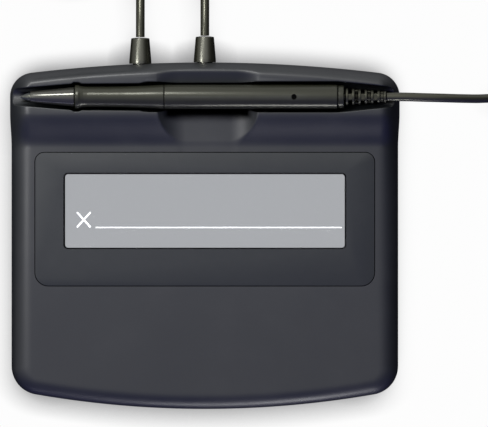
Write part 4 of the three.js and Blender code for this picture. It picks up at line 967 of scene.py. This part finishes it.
def rest_at(x):
    """The groove's radius and axis height along the pen, eased where it widens for the grip's lip"""
    low_x, *low = REST_STATIONS[0]
    for high_x, *high in REST_STATIONS[1:]:
        if x <= high_x:
            along = max(0, (x - low_x) / (high_x - low_x))
            along = smooth(along) if high_x - low_x < REST_EASE else along
            return tuple(a + (b - a) * along for a, b in zip(low, high))
        low_x, low = high_x, high
    return tuple(low)


def edge_rounding(nx, ny):
    """How far the cover's rounded edge reaches in from the outline that faces a way"""
    return SIDE_ROUND * nx ** 2 + (FRONT_ROUND if ny < 0 else BACK_ROUND) * ny ** 2


def cover_height(x, y, edge_share, lip):
    """Height of the top cover's outside over a point, with its lips rounded"""
    dome = COVER_BASE + (top_height(y) - COVER_BASE) * math.sqrt(max(0, 1 - (1 - edge_share) ** 2))
    height = dome
    if abs(x - SCOOP_X) < SCOOP_REACH and y > SCOOP_FRONT:
        blend = lip * (SCOOP_LIP + SCOOP_LIP_GAIN * smooth((y - PEN_Y) / SCOOP_LIP_RUN))
        height = soft_least(dome, deck_height(y) + SCOOP_LIFT + scoop_rise(x, y), blend)
    away = abs(y - PEN_Y)
    radius, axis = rest_at(x)
    if away >= radius:
        within = 1 - min((away - radius) / lip, 1)
        drop = lip - math.sqrt(max(lip ** 2 - (lip * within) ** 2, 0))
        return height - drop * smooth((height - axis + LIP_BELOW_AXIS) / LIP_FADE)
    groove = axis - math.sqrt(radius ** 2 - away ** 2)
    return soft_least(height, groove, lip)


def cover_sheet():
    """A flat sheet inside the outline, whose corners keep their share of the rounded edge and way out"""
    outline = full_outline()
    shares = [1 - math.cos(math.pi / 2 * k / EDGE_STEPS) for k in range(EDGE_STEPS + 1)]

    def ring(edge_share, extra=0.0):
        points = []
        for x, y, nx, ny in outline:
            inset = edge_rounding(nx, ny) * edge_share + extra
            points.append((x - nx * inset, y - ny * inset, 0))
        return points

    bm = bmesh.new()
    edge_layer, way_x, way_y = [bm.verts.layers.float.new(name) for name in ("edge_share", "way_x", "way_y")]
    rings = [ring(edge_share) for edge_share in shares] + [ring(1, EDGE_MARGIN)]
    wrapped(bm, rings, {
        edge_layer: [[edge_share] * len(outline) for edge_share in [*shares, 1.0]],
        way_x: [[point[2] for point in outline]] * len(rings),
        way_y: [[point[3] for point in outline]] * len(rings),
    })
    inner = [edge for edge in bm.edges if edge.is_boundary and all(v[edge_layer] > 0.99 for v in edge.verts)]
    bmesh.ops.contextual_create(bm, geom=inner)
    return bm, edge_layer, way_x, way_y


def cut_rest(bm, lip):
    """Cuts the sheet across the ridge's slope, and along the groove's steps and lips"""
    band = REST_RADIUS + lip + BAND_MARGIN
    slope_rows = steps(SLOPE_CUT_START, PEN_Y - REST_RADIUS - lip - SLOPE_CUT_CLEAR, SLOPE_PITCH)
    sliced(bm, [*bm.verts, *bm.edges, *bm.faces], rows([*slope_rows, PEN_Y - band, PEN_Y, PEN_Y + band]))
    stations = [x for x, *_ in REST_STATIONS[1:-1]]
    stations += [start + (end - start) * i / EASE_CUTS for start, end in zip(stations, stations[1:])
                 if end - start < REST_EASE for i in range(1, EASE_CUTS)]
    stations.sort()
    sliced(bm, region(bm, lambda at: abs(at.y - PEN_Y) < band), columns(stations))
    ends = [-RIDGE_WIDTH / 2 - 1, *stations, RIDGE_WIDTH / 2 + 1]
    for left, right in zip(ends, ends[1:]):
        (start, _), (end, _) = rest_at(left), rest_at(right)
        offsets = [(start * math.sin(math.radians(a)), end * math.sin(math.radians(a))) for a in ROUND_CUTS]
        offsets += [(start + lip * t, end + lip * t) for t in LIP_CUTS]
        part = region(bm, lambda at: abs(at.y - PEN_Y) < band and left < at.x < right)
        sliced(bm, part, [((left, PEN_Y + side * a), (-side * (b - a), right - left))
                          for a, b in offsets for side in (-1, 1)])


def cut_scoop(bm, lip):
    """Cuts the sheet finely where the scoop crosses the ridge"""
    left, right = SCOOP_X - SCOOP_CUT_REACH, SCOOP_X + SCOOP_CUT_REACH
    sliced(bm, region(bm, lambda at: at.y > COLUMN_CUT_FRONT), columns([left, right]))
    sliced(bm, region(bm, lambda at: at.y < RIDGE_FOOT and abs(at.x) < AHEAD_HALF), rows(AHEAD_ROWS))

    def across_scoop(at):
        return left < at.x < right and at.y > SCOOP_CUT_FRONT

    more_rows = steps(SCOOP_CUT_START, PEN_Y - REST_RADIUS - lip, SLOPE_PITCH)
    more_rows += steps(PEN_Y + REST_RADIUS + lip + BACK_CUT_CLEAR, BACK_CUT_END, BACK_PITCH)
    sliced(bm, region(bm, across_scoop), rows(more_rows))
    sliced(bm, region(bm, across_scoop), columns(steps(left, right, COLUMN_PITCH)[1:-1]))


def close_inside(bm, way_x, way_y):
    """Closes the lifted sheet: its rim goes in by the wall and rises in a round corner to under the deck"""
    seam = [edge for edge in bm.edges if edge.is_boundary]
    turn_before = None
    for turn in (math.radians(angle) for angle in (0, 30, 60, 90)):
        rim = bmesh.ops.extrude_edge_only(bm, edges=seam)["geom"]
        seam = [item for item in rim if isinstance(item, bmesh.types.BMEdge)]
        for vert in (item for item in rim if isinstance(item, bmesh.types.BMVert)):
            nx, ny = vert[way_x], vert[way_y]
            if turn_before is None:
                shift = WALL
            else:
                shift = edge_rounding(nx, ny) * INNER_SHARE * (math.cos(turn_before) - math.cos(turn))
            vert.co.x -= nx * shift
            vert.co.y -= ny * shift
            vert.co.z = COVER_BASE + (deck_height(vert.co.y) - WALL - COVER_BASE) * math.sin(turn)
        turn_before = turn
    bmesh.ops.contextual_create(bm, geom=seam)


def top_cover_shape(lip):
    """The top cover: a sheet cut where its height changes, lifted to it and closed by an inner skin"""
    bm, edge_layer, way_x, way_y = cover_sheet()
    cut_rest(bm, lip)
    cut_scoop(bm, lip)
    for vert in bm.verts:
        vert.co.z = cover_height(vert.co.x, vert.co.y, vert[edge_layer], lip)
    close_inside(bm, way_x, way_y)
    return bm


def boot_passage(x):
    """Room for a boot's flange behind the wall, and the hole for its neck"""
    inside = wall_y(x) - WALL - SEAM_GAP
    profile = [(-PASSAGE_REACH, 0), (-PASSAGE_REACH, FLANGE_ROOM), (0, FLANGE_ROOM), (0, NECK_ROOM),
               (PASSAGE_REACH, NECK_ROOM), (PASSAGE_REACH, 0)]
    return turned(profile, (x, inside, BOOT_Z), "Y", 32)


def pen_nub(side_x, side_y):
    """One of the four nubs on the groove's lips"""
    nub = bmesh.new()
    bmesh.ops.create_uvsphere(nub, u_segments=20, v_segments=12, radius=1)
    bmesh.ops.scale(nub, vec=(NUB_LENGTH, NUB_BULGE, NUB_BULGE), verts=nub.verts)
    away = side_y * (rest_at(side_x * NUB_X)[0] + NUB_BULGE - NUB_STAND)
    bmesh.ops.translate(
        nub, vec=(side_x * NUB_X, PEN_Y + away, top_height(PEN_Y) - NUB_BELOW), verts=nub.verts)
    return nub


class PAD_OT_top_cover(bpy.types.Operator):
    """Moulds the top cover with its ridge, pen rest, finger scoop and display pockets"""

    bl_idname = "signature_pad.top_cover"
    bl_label = "Top cover"

    def execute(self, context):
        chosen = settings().housing
        added = [on_deck(block(LEDGE_SIZE, (0, 0, LEDGE_Z)))]
        added += [rod(BOSS_RADIUS, BOSS_FOOT, deck_height(y) - 1, x, y) for x, y in CASE_BOSSES]
        added += [pen_nub(side_x, side_y) for side_x in (-1, 1) for side_y in (-1, 1)]
        pockets = [
            plate(**FILM_SEAT, middle=(0, FILM_Y)),
            plate(**GLASS_POCKET),
            block(DISPLAY_HOLE_SIZE, (0, 0, DISPLAY_HOLE_Z)),
        ]
        taken = [on_deck(pocket) for pocket in pockets]
        taken += [boot_passage(x) for x in BOOTS.values()]
        taken += [rod(SCREW_HOLE, 3.5, deck_height(y) - WALL, x, y) for x, y in CASE_BOSSES]
        # The cover's colour carries painted shade in its groove and gaps, and a painted shadow on level ground
        # in front of the pen
        material = grained_plastic(
            "charcoal_plastic", chosen.plastic, chosen.roughness, chosen.grain, chosen.grain_depth,
            crevice={"reach": 0.005, "thrown": True})
        mesh = carved(top_cover_shape(chosen.lip / MM), added, taken)
        settled("cover_shell", mesh, material, 38, replaces=["top_cover"])
        return {"FINISHED"}


# Bottom cover, feet and screws

class PAD_OT_bottom_cover(bpy.types.Operator):
    """Moulds the bottom cover with its tongue, foot seats, screw holes and plain label recess"""

    bl_idname = "signature_pad.bottom_cover"
    bl_label = "Bottom cover"

    def execute(self, context):
        chosen = settings().housing
        added = [rod(BOSS_RADIUS, COLLAR_FOOT, COLLAR_TOP, x, y) for x, y in CASE_BOSSES]
        taken = [rod(FOOT_SEAT, 0, FOOT_SEAT_DEPTH, x, y) for x, y in FEET]
        for x, y in CASE_BOSSES:
            taken += [rod(SCREW_HOLE, 0, 9, x, y), rod(HEAD_SEAT, 0, HEAD_SEAT_DEPTH, x, y)]
        taken.append(plate(**LABEL_RECESS))
        taken += [boot_passage(x) for x in BOOTS.values()]
        material = grained_plastic(
            "base_plastic", tuple(0.8 * value for value in chosen.plastic), chosen.roughness + 0.08,
            chosen.grain * 1.6, chosen.grain_depth * 1.6, dust=0.02)
        mesh = carved(self.tray(), added, taken)
        settled("base_tray", mesh, material, 30, replaces=["bottom_cover"])
        return {"FINISHED"}

    @staticmethod
    def tray():
        """The section from the inner floor over the tongue to the rounded foot, run round the outline"""
        seam = PARTING - SEAM_GAP / 2
        section = [(TRAY_WALL, FLOOR_TOP), (TRAY_WALL, TONGUE_TOP), (TONGUE_INSET, TONGUE_TOP),
                   (TONGUE_INSET, seam), (TRAY_EDGE, seam), (TRAY_EDGE / 4, seam - TRAY_EDGE / 4),
                   (0, seam - TRAY_EDGE)]
        for k in range(FOOT_STEPS + 1):
            turn = math.pi / 2 * k / FOOT_STEPS
            section.append((FOOT_INSET + FOOT_ROUND * (1 - math.cos(turn)),
                            FLOOR_BOTTOM + FOOT_ROUND * (1 - math.sin(turn))))
        section.append((FLOOR_INSET, FLOOR_BOTTOM))
        rings = [[(x - nx * inset, y - ny * inset, z) for x, y, nx, ny in full_outline()]
                 for inset, z in section]
        bm = bmesh.new()
        wrapped(bm, rings)
        close_holes(bm)
        return bm


class PAD_OT_feet_and_screws(bpy.types.Operator):
    """Turns the rubber feet and the case screws, with a cross recess in each screw"""

    bl_idname = "signature_pad.feet_and_screws"
    bl_label = "Feet and screws"

    def execute(self, context):
        dull = rubber("foot_rubber", settings().housing.rubber, 0.8)
        zinc = brushed_metal("zinc_steel", (0.36, 0.37, 0.38), 0.34, (900, 900, 9000))
        for i, (x, y) in enumerate(FEET):
            foot = turned(FOOT_PROFILE, (x, y, 0), "Z", 56)
            finished(f"foot_pad_{i + 1}", foot, dull, replaces=[f"foot_{i + 1}"])
        for i, (x, y) in enumerate(CASE_BOSSES):
            place = (x, y, SCREW_Z)
            arms = [block(size, place, 0.08) for size in CROSS_RECESS]
            mesh = carved(turned(SCREW_PROFILE, place, "Z", 40), taken=arms)
            settled(f"case_fastener_{i + 1}", mesh, zinc, replaces=[f"case_screw_{i + 1}"])
        return {"FINISHED"}


# Display

class PAD_OT_display(bpy.types.Operator):
    """Lays the film round the window, and draws the signing line and cross on the display"""

    bl_idname = "signature_pad.display"
    bl_label = "Display"

    def execute(self, context):
        chosen = settings().display
        film = grained_plastic(
            "film", chosen.film, 0.62, 0.0003, 0.000005, edge_gain=0.03, dust=0.006, spread=0.03, gloss=0.42)
        sheet = on_deck(plate(**FILM, middle=(0, FILM_Y), edge=chosen.film_edge / MM))
        mesh = carved(sheet, taken=[on_deck(plate(**FILM_OPENING))])
        settled("window_film", mesh, film, 25, replaces=["bezel_overlay"])
        finished("signing_marks", self.marks(chosen), printed_mark(chosen.mark))
        dress("lcd_panel", display_face(chosen.face, chosen.glow))
        dress("sensor_glass", clear_sheet("clear_glass", 0.02, 1.12))
        return {"FINISHED"}

    @staticmethod
    def marks(chosen):
        """The signing line, and the cross of two strokes before it"""
        strokes = []
        for sign in (-1, 1):
            stroke = block((STROKE_LENGTH, chosen.stroke / MM, MARK_THICK), (0, 0, 0))
            turn = Matrix.Rotation(sign * STROKE_TURN, 3, "Z")
            bmesh.ops.rotate(stroke, cent=(0, 0, 0), matrix=turn, verts=stroke.verts)
            bmesh.ops.translate(stroke, vec=CROSS_AT, verts=stroke.verts)
            strokes.append(on_deck(stroke))
        cross = carved(strokes[0], added=strokes[1:])
        marks = on_deck(block((LINE_LENGTH, chosen.line / MM, MARK_THICK), LINE_AT))
        marks.from_mesh(cross)
        bpy.data.meshes.remove(cross)
        return marks


def dress(name, material):
    """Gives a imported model's own mesh a finish"""
    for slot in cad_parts[name].material_slots:
        slot.material = material


# Pen

def along_pen(profile):
    """A turned pen piece from a profile measured from the nib's tip"""
    return turned(profile, (PEN_START, PEN_Y, PEN_Z), "X", 72)


class PAD_OT_pen(bpy.types.Operator):
    """Turns the nib, nose, barrels and collar, and moulds the ribbed strain relief"""

    bl_idname = "signature_pad.pen"
    bl_label = "Pen"

    def execute(self, context):
        chosen = settings().pen
        paint = painted("pen_paint", chosen.paint, chosen.paint_roughness, 0.3, 0.36)
        bright = painted("nose_paint", chosen.nose, chosen.nose_roughness, 0.5, 0.7)
        plastic = grained_plastic(
            "nib_plastic", chosen.nib, 0.36, 0.0003, 0.000002, gloss=0.4, Specular_Tint=YELLOWISH)
        # The strain relief's colour goes to black in its slots: painted shade
        moulded = rubber(
            "relief_rubber", chosen.relief, 0.42, 0.000004, 0.004, gloss=0.36,
            crevice={"reach": 0.003, "black": 0.45, "clear": 0.85}, Specular_Tint=YELLOWISH)

        finished("pen_nib", along_pen(NIB_PROFILE), plastic, body="nib", replaces=["nib"])
        finished("pen_nose", along_pen(NOSE_PROFILE), bright, body="pen", replaces=["nose_cone"])
        finished("pen_grip", along_pen(GRIP_PROFILE), paint, body="pen", replaces=["grip_barrel"])
        settled("pen_barrel", self.barrel(), paint, body="pen", replaces=["rear_barrel"])
        finished("pen_collar", along_pen(COLLAR_PROFILE), paint, body="pen", replaces=["pen_end_collar"])
        settled("pen_strain_relief", self.relief(), moulded, 35, "pen", ["pen_cable_relief"])
        return {"FINISHED"}

    @staticmethod
    def barrel():
        """The rear barrel with the small hole in its top"""
        hole = turned(
            [(PEN_Z, 0), (PEN_Z, HOLE_RADIUS), (PEN_Z + 10, HOLE_RADIUS), (PEN_Z + 10, 0)],
            (PEN_START + HOLE_START, PEN_Y, 0), "Z", 40)
        return carved(along_pen(BARREL_PROFILE), taken=[hole])

    @staticmethod
    def relief():
        """Rings that shrink along the cord, joined in turn above and below, then at both sides"""
        start = RELIEF_START + RELIEF_STEP
        first = start + RELIEF_STEP
        pitch = (PEN_LENGTH - RING_WIDTH - first) / (RINGS - 1)
        radii = [RING_FIRST - (RING_FIRST - RING_LAST) / (RINGS - 1) * i for i in range(RINGS)]
        profile = [(start, 0), (start, RING_CORE)]
        for i, radius in enumerate(radii):
            at = first + i * pitch
            profile += [(at, RING_CORE), (at, radius, RING_EDGE), (at + RING_WIDTH, radius, RING_EDGE),
                        (at + RING_WIDTH, RING_CORE)]
        profile[-1] = (PEN_LENGTH, 0)
        webs = []
        for i in range(RINGS - 1):
            across = 2 * (radii[i + 1] - WEB_INSET)
            size = (pitch, across, WEB_FLAT) if i % 2 else (pitch, WEB_TALL, across)
            middle = PEN_START + first + i * pitch + (RING_WIDTH + pitch) / 2
            webs.append(block(size, (middle, PEN_Y, PEN_Z), WEB_EDGE))
        bore = turned(
            [(start - 2, 0), (start - 2, RELIEF_BORE), (start + 6, RELIEF_BORE), (start + 6, 0)],
            (PEN_START, PEN_Y, PEN_Z), "X", 32)
        return carved(along_pen(profile), webs, [bore])


# Boots, plug and cords

class PAD_OT_boots(bpy.types.Operator):
    """Turns the two tapered cable boots in the back wall"""

    bl_idname = "signature_pad.boots"
    bl_label = "Cable boots"

    def execute(self, context):
        material = grained_plastic(
            "boot_rubber", settings().cord.boot, 0.26, 0.0005, 0.000002, dust=0.006, gloss=0.95,
            Specular_Tint=(1.0, 1.0, 0.85, 1))
        for name, x in BOOTS.items():
            boot = turned(BOOT_PROFILE, (x, wall_y(x), BOOT_Z), "Y", 56)
            finished(f"{name}_moulding", boot, material, replaces=[name])
        return {"FINISHED"}


def bevel_along(bm, offset, segments):
    """Bevels a block's edges that run along X"""
    bevelled(bm, [e for e in bm.edges if abs(e.verts[0].co.x - e.verts[1].co.x) > 1], offset, segments)


class PAD_OT_plug(bpy.types.Operator):
    """Moulds the host cord's plug: its grip, plated shell and contact tongue"""

    bl_idname = "signature_pad.plug"
    bl_label = "Plug"

    def execute(self, context):
        black = grained_plastic("plug_black", (0.018, 0.018, 0.020), 0.5, 0.0006, 0.000016)
        plated = brushed_metal("plug_plate", (0.62, 0.62, 0.63), 0.24, (400, 9000, 9000))
        tongue_plastic = grained_plastic("tongue_plastic", (0.62, 0.61, 0.57), 0.45, 0.0006, 0.000005)
        settled("plug_moulding", self.grip(), black, 35, replaces=["plug_grip"])
        settled("plug_plated_shell", self.shell(), plated, 30, replaces=["plug_shell"])
        low, high = (Vector(corner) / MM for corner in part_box("plug_tongue"))
        tongue = block(high - low, (high + low) / 2, 0.12)
        finished("plug_contact_tongue", tongue, tongue_plastic, replaces=["plug_tongue"])
        return {"FINISHED"}

    @staticmethod
    def grip():
        """The moulded grip with a dent on each face, and the ribbed taper that the cord comes out of"""
        x, y, z = PLUG_AT
        grip = block(GRIP_SIZE, (x + GRIP_AT, y, z))
        bevel_along(grip, GRIP_ROUND, 8)
        ends = [e for e in grip.edges if abs(e.verts[0].co.x - e.verts[1].co.x) < 0.01]
        bevelled(grip, ends, GRIP_EDGE, 3)
        ribs = [(0, 0), (0, 2.5, 0.2)]
        for i in range(RIBS):
            at = RIB_START + i * RIB_PITCH
            low = RIB_LOW + RIB_GAIN * i
            deep = low - RIB_DEEP
            ribs += [(at, low), (at + 0.1, deep), (at + 0.9, deep), (at + 1.0, low + 0.05)]
        ribs += [(8.6, 3.15), (9.6, 3.2), (9.6, 0)]
        seat = block(SEAT_SIZE, (x + SEAT_AT, y, z))
        dents = [block(DENT_SIZE, (x + GRIP_AT, y, z + side * DENT_RISE), DENT_EDGE) for side in (-1, 1)]
        return carved(grip, [turned(ribs, PLUG_AT, "X", 40)], [seat, *dents])

    @staticmethod
    def shell():
        """The plated shell, open at its end, with two windows above and below"""
        x, y, z = PLUG_AT
        shell = block(SHELL_SIZE, (x + SHELL_AT, y, z))
        bevel_along(shell, SHELL_ROUND, 3)
        windows = [block(LATCH_SIZE, (x + LATCH_AT, y + side, z), LATCH_EDGE)
                   for side in (-LATCH_SIDE, LATCH_SIDE)]
        return carved(shell, taken=[block(SHELL_BORE, (x + SHELL_AT, y, z)), *windows])


def coil_points(coil, per_turn=36):
    """A flat coil that spirals in and out again, and climbs a layer in the half turn where it reverses"""
    turns = coil["turns"] * coil["layers"]

    def at(turn):
        layer = min(math.floor(turn / coil["turns"]), coil["layers"] - 1)
        within = turn - layer * coil["turns"]
        inwards = coil["turns"] - within if layer % 2 else within
        reversal = round(turn / coil["turns"])
        past = turn - reversal * coil["turns"]
        climbing = 0 < reversal < coil["layers"] and abs(past) < 0.25
        level = reversal - 0.5 + past / 0.5 if climbing else layer
        radius = coil["outer"] - COIL_PITCH * inwards
        angle = 2 * math.pi * turn
        return Vector((coil["x"] + radius * math.cos(angle), coil["y"] + radius * math.sin(angle),
                       CORD_RADIUS + COIL_PITCH * level))

    count = round(turns * per_turn)
    return [at(turns * i / count) for i in range(count + 1)]


def eased_route(points, spacing=2.0):
    """A smooth line through points: a centripetal spline sampled at a spacing"""
    def between(first, last, begin, finish, t):
        return first * ((finish - t) / (finish - begin)) + last * ((t - begin) / (finish - begin))

    points = [Vector(point) for point in points]
    points = [2 * points[0] - points[1], *points, 2 * points[-1] - points[-2]]
    route = []
    for before, start, end, after in zip(points, points[1:], points[2:], points[3:]):
        t0 = 0.0
        t1 = t0 + (start - before).length ** 0.5
        t2 = t1 + (end - start).length ** 0.5
        t3 = t2 + (after - end).length ** 0.5
        count = max(1, round((end - start).length / spacing))
        for i in range(count):
            t = t1 + (t2 - t1) * i / count
            middle = between(start, end, t1, t2, t)
            low = between(between(before, start, t0, t1, t), middle, t0, t2, t)
            high = between(middle, between(end, after, t2, t3, t), t1, t3, t)
            route.append(between(low, high, t1, t2, t))
    return [*route, points[-2]]


def cord_tube(name, route, radius, sides, material, replaces):
    """A closed tube along a route in millimetres, from a curve that is made a mesh"""
    line = bpy.data.curves.new(name, "CURVE")
    line.dimensions = "3D"
    line.twist_mode = "MINIMUM"
    line.bevel_depth = radius
    line.bevel_resolution = sides // 4 - 1
    line.use_fill_caps = True
    spline = line.splines.new("POLY")
    spline.points.add(len(route) - 1)
    for point, place in zip(spline.points, route):
        point.co = (*place, 1)
    guide = linked(name, line)
    bpy.context.view_layer.update()
    mesh = bpy.data.meshes.new_from_object(guide.evaluated_get(bpy.context.evaluated_depsgraph_get()))
    bpy.data.objects.remove(guide)
    bpy.data.curves.remove(line)
    bm = bmesh.new()
    bm.from_mesh(mesh)
    bpy.data.meshes.remove(mesh)
    bmesh.ops.remove_doubles(bm, verts=bm.verts, dist=1e-3)
    return finished(name, bm, material, 40, None, replaces)


class PAD_OT_cords(bpy.types.Operator):
    """Lays the host cord and the pen's tether along their routes, with their coils"""

    bl_idname = "signature_pad.cords"
    bl_label = "Cords"

    def execute(self, context):
        chosen = settings().cord
        material = sheath("cord_sheath", chosen.sheath, chosen.sheath_roughness)
        host = eased_route([*HOST_RUN[:-1], *coil_points(HOST_COIL), *HOST_TAIL[1:]])
        tether = eased_route([*PEN_RUN[:-1], *coil_points(PEN_COIL), *PEN_RETURN[1:]])

        host_cord = cord_tube(
            "host_cord", host, CORD_RADIUS, chosen.sides, material,
            ["host_cable_run", "host_cable_coil", "host_cable_tail"])
        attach(host_cord, "housing")
        self.declare(host_cord, host, "plug", [
            "host_boot_moulding", "plug_moulding", "plug_plated_shell", "plug_contact_tongue"])

        pen_cord = cord_tube(
            "pen_tether", tether, CORD_RADIUS, chosen.sides, material,
            ["pen_cable_run", "pen_cable_coil", "pen_cable_return"])
        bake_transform(pen_cord)
        self.declare(pen_cord, tether, "object", ["pen_boot_moulding"])
        return {"FINISHED"}

    @staticmethod
    def declare(piece, route, far_end, with_pieces):
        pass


# Pieces inside

class PAD_OT_inner_parts(bpy.types.Operator):
    """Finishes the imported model's own pieces inside the housing and the pen"""

    bl_idname = "signature_pad.inner_parts"
    bl_label = "Inner parts"

    def execute(self, context):
        foam = rubber("black_foam", (0.010, 0.010, 0.011), 0.9, 0.00008)
        tin = brushed_metal("tin_plate", (0.55, 0.55, 0.56), 0.3, (300, 6000, 6000))
        steel = brushed_metal("screw_steel", (0.38, 0.38, 0.39), 0.32, (900, 900, 9000))
        guide = clear_sheet("clear_guide", 0.12)
        board = circuit_board("board_green")
        chip = grained_plastic("chip_black", (0.010, 0.010, 0.011), 0.5, 0.0002, 0.000006, 0.05, 0.0)
        socket = grained_plastic("socket_white", (0.72, 0.69, 0.62), 0.5, 0.0005, 0.000006, 0.05, 0.02)
        amber = grained_plastic("flex_amber", (0.36, 0.14, 0.012), 0.3, 0.0008, 0.000004, 0.05, 0.0)
        lead = sheath("lead_sheath", (0.03, 0.03, 0.032), 0.45)
        finishes = {
            "sensor_gasket": foam, "lcd_frame": tin, "light_guide": guide, "lcd_board": board,
            "main_board": board, "main_chip": chip, "memory_chip": chip, "crystal_can": tin,
            "pen_header": socket, "host_header": socket, "ribbon_socket": socket, "flex_socket": socket,
            "display_ribbon": amber, "sensor_flex": amber, "pen_lead_inside": lead, "host_lead_inside": lead,
            "nib_spring": steel, "tip_switch": chip, "pen_board": board, "pen_lead": lead,
        }
        finishes.update({f"board_screw_{i}": steel for i in range(1, 5)})
        for name, material in finishes.items():
            dress(name, material)
        return {"FINISHED"}


# Studio

CAMERA_SENSOR, CAMERA_CLIP, FLOOR_HALF = 36, (0.01, 20), 2.5

# Lights by the setting of their power: name, place, point that they face, size and colour
LIGHTS = {
    "key": ("key_light", (-0.26, 0.09, 0.36), (0, 0.04, 0.015), (0.10, 0.10), (1.0, 1.0, 0.99)),
    "edge": ("front_strip", (0.0, -0.75, 0.04), (0, 0.05, 0.02), (0.9, 0.03), (0.80, 0.80, 1.0)),
    "glint": ("barrel_strip", (0.06, -0.40, 0.030), (0.02, 0.055, 0.021), (0.14, 0.01), (1, 1, 1)),
    "line": ("line_light", (-0.115, 0.29, 0.345), (-0.06, 0.055, 0.02), (0.13, 0.08), (1, 1, 1)),
}

# The room's own tone, and its soft panels: the way to each, where its glow starts and is full, and its colour
ROOM_TONE = (0.015, 0.015, 0.019)
ROOM_PANELS = (
    ((0.0, 0.1, 0.99), 0.70, 0.98, (0.68, 0.69, 0.69)),
    ((-0.75, 0.35, 0.55), 0.50, 0.95, (0.62, 0.62, 0.62)),
    ((0.0, 0.86, 0.51), 0.30, 0.95, (0.80, 0.80, 0.81)),
    ((0.0, -0.90, 0.44), 0.10, 0.90, (0.050, 0.045, 0.360)),
    ((0.0, 0.99, -0.10), 0.30, 0.90, (0.42, 0.42, 0.44)),
)


class PAD_OT_stage(bpy.types.Operator):
    """Sets up the camera over the pad, the pale floor and the soft lights"""

    bl_idname = "signature_pad.stage"
    bl_label = "Stage"

    def execute(self, context):
        chosen = settings().studio
        scene = context.scene
        self.camera(scene, chosen)
        self.floor(floor_white(chosen.floor, chosen.contact))
        for setting, light in LIGHTS.items():
            self.light(*light, getattr(chosen, setting))
        self.room(scene, chosen.room)
        scene.view_settings.view_transform = "Standard"
        scene.view_settings.look = "None"
        return {"FINISHED"}

    @staticmethod
    def camera(scene, chosen):
        """A camera straight above the point that it looks at, as far off as its framed width asks"""
        data = bpy.data.cameras.new("studio_camera")
        data.lens = chosen.lens
        data.sensor_width = CAMERA_SENSOR
        data.clip_start, data.clip_end = CAMERA_CLIP
        camera = linked("studio_camera", data)
        away = chosen.framed * chosen.lens / data.sensor_width
        camera.location = Vector(chosen.aim) + Vector((0, 0, away))
        scene.camera = camera

    @staticmethod
    def floor(material):
        """The table top, which is left out of mirrored and bounced light"""
        bm = bmesh.new()
        bmesh.ops.create_grid(bm, x_segments=4, y_segments=4, size=FLOOR_HALF)
        floor = linked("studio_floor", as_mesh("studio_floor", bm))
        floor.data.materials.append(material)
        floor.visible_glossy = False
        floor.visible_diffuse = False

    @staticmethod
    def light(name, place, aim, size, tone, power):
        """A rectangular lamp that faces a point, and isn't seen itself"""
        data = bpy.data.lights.new(name, "AREA")
        data.shape = "RECTANGLE"
        data.size, data.size_y = size
        data.energy = power
        data.color = tone
        lamp = linked(name, data)
        lamp.location = place
        lamp.rotation_euler = (Vector(aim) - Vector(place)).to_track_quat("-Z", "Y").to_euler()
        lamp.visible_camera = False

    @staticmethod
    def room(scene, strength):
        """A dark room whose soft panels show in the gloss"""
        world = bpy.data.worlds.new("studio_room")
        world.use_nodes = True
        scene.world = world
        tree = world.node_tree
        background = tree.nodes["Background"].inputs
        at = node(tree, "ShaderNodeTexCoord").outputs["Generated"]
        tone = ROOM_TONE
        for way, start, end, glow in ROOM_PANELS:
            facing = vector_maths(tree, "DOT_PRODUCT", at, Vector(way).normalized())
            lit = mix_colours(tree, mapped(tree, facing, start, end, eased=True), BLACK, (*glow, 1))
            tone = vector_maths(tree, "ADD", tone, lit)
        tree.links.new(tone, background["Color"])
        background["Strength"].default_value = strength


# Add-on

class PAD_PT_sidebar(bpy.types.Panel):
    """Lists the steps that build the signature pad"""

    bl_idname = "PAD_PT_sidebar"
    bl_label = "Signature Pad"
    bl_space_type = "VIEW_3D"
    bl_region_type = "UI"
    bl_category = "Signature Pad"

    def draw(self, context):
        chosen = context.scene.signature_pad
        for part in ("housing", "display", "pen", "cord", "studio"):
            box = self.layout.box()
            box.label(text=part.capitalize())
            values = getattr(chosen, part)
            for name in values.bl_rna.properties.keys():
                if name not in {"rna_type", "name"}:
                    box.prop(values, name)
        for operator in OPERATORS:
            self.layout.operator(operator.bl_idname)


OPERATORS = (
    PAD_OT_stage, PAD_OT_boots, PAD_OT_plug, PAD_OT_cords, PAD_OT_top_cover, PAD_OT_bottom_cover,
    PAD_OT_feet_and_screws, PAD_OT_display, PAD_OT_pen, PAD_OT_inner_parts,
)
CLASSES = (
    HousingSettings, DisplaySettings, PenSettings, CordSettings, StudioSettings, PadSettings, *OPERATORS,
    PAD_PT_sidebar,
)


def register():
    for entry in CLASSES:
        bpy.utils.register_class(entry)
    bpy.types.Scene.signature_pad = PointerProperty(type=PadSettings)


def unregister():
    del bpy.types.Scene.signature_pad
    for entry in reversed(CLASSES):
        bpy.utils.unregister_class(entry)


def main():
    register()
    for operator in OPERATORS:
        category, name = operator.bl_idname.split(".")
        getattr(getattr(bpy.ops, category), name)()


if __name__ == "__main__":
    main()
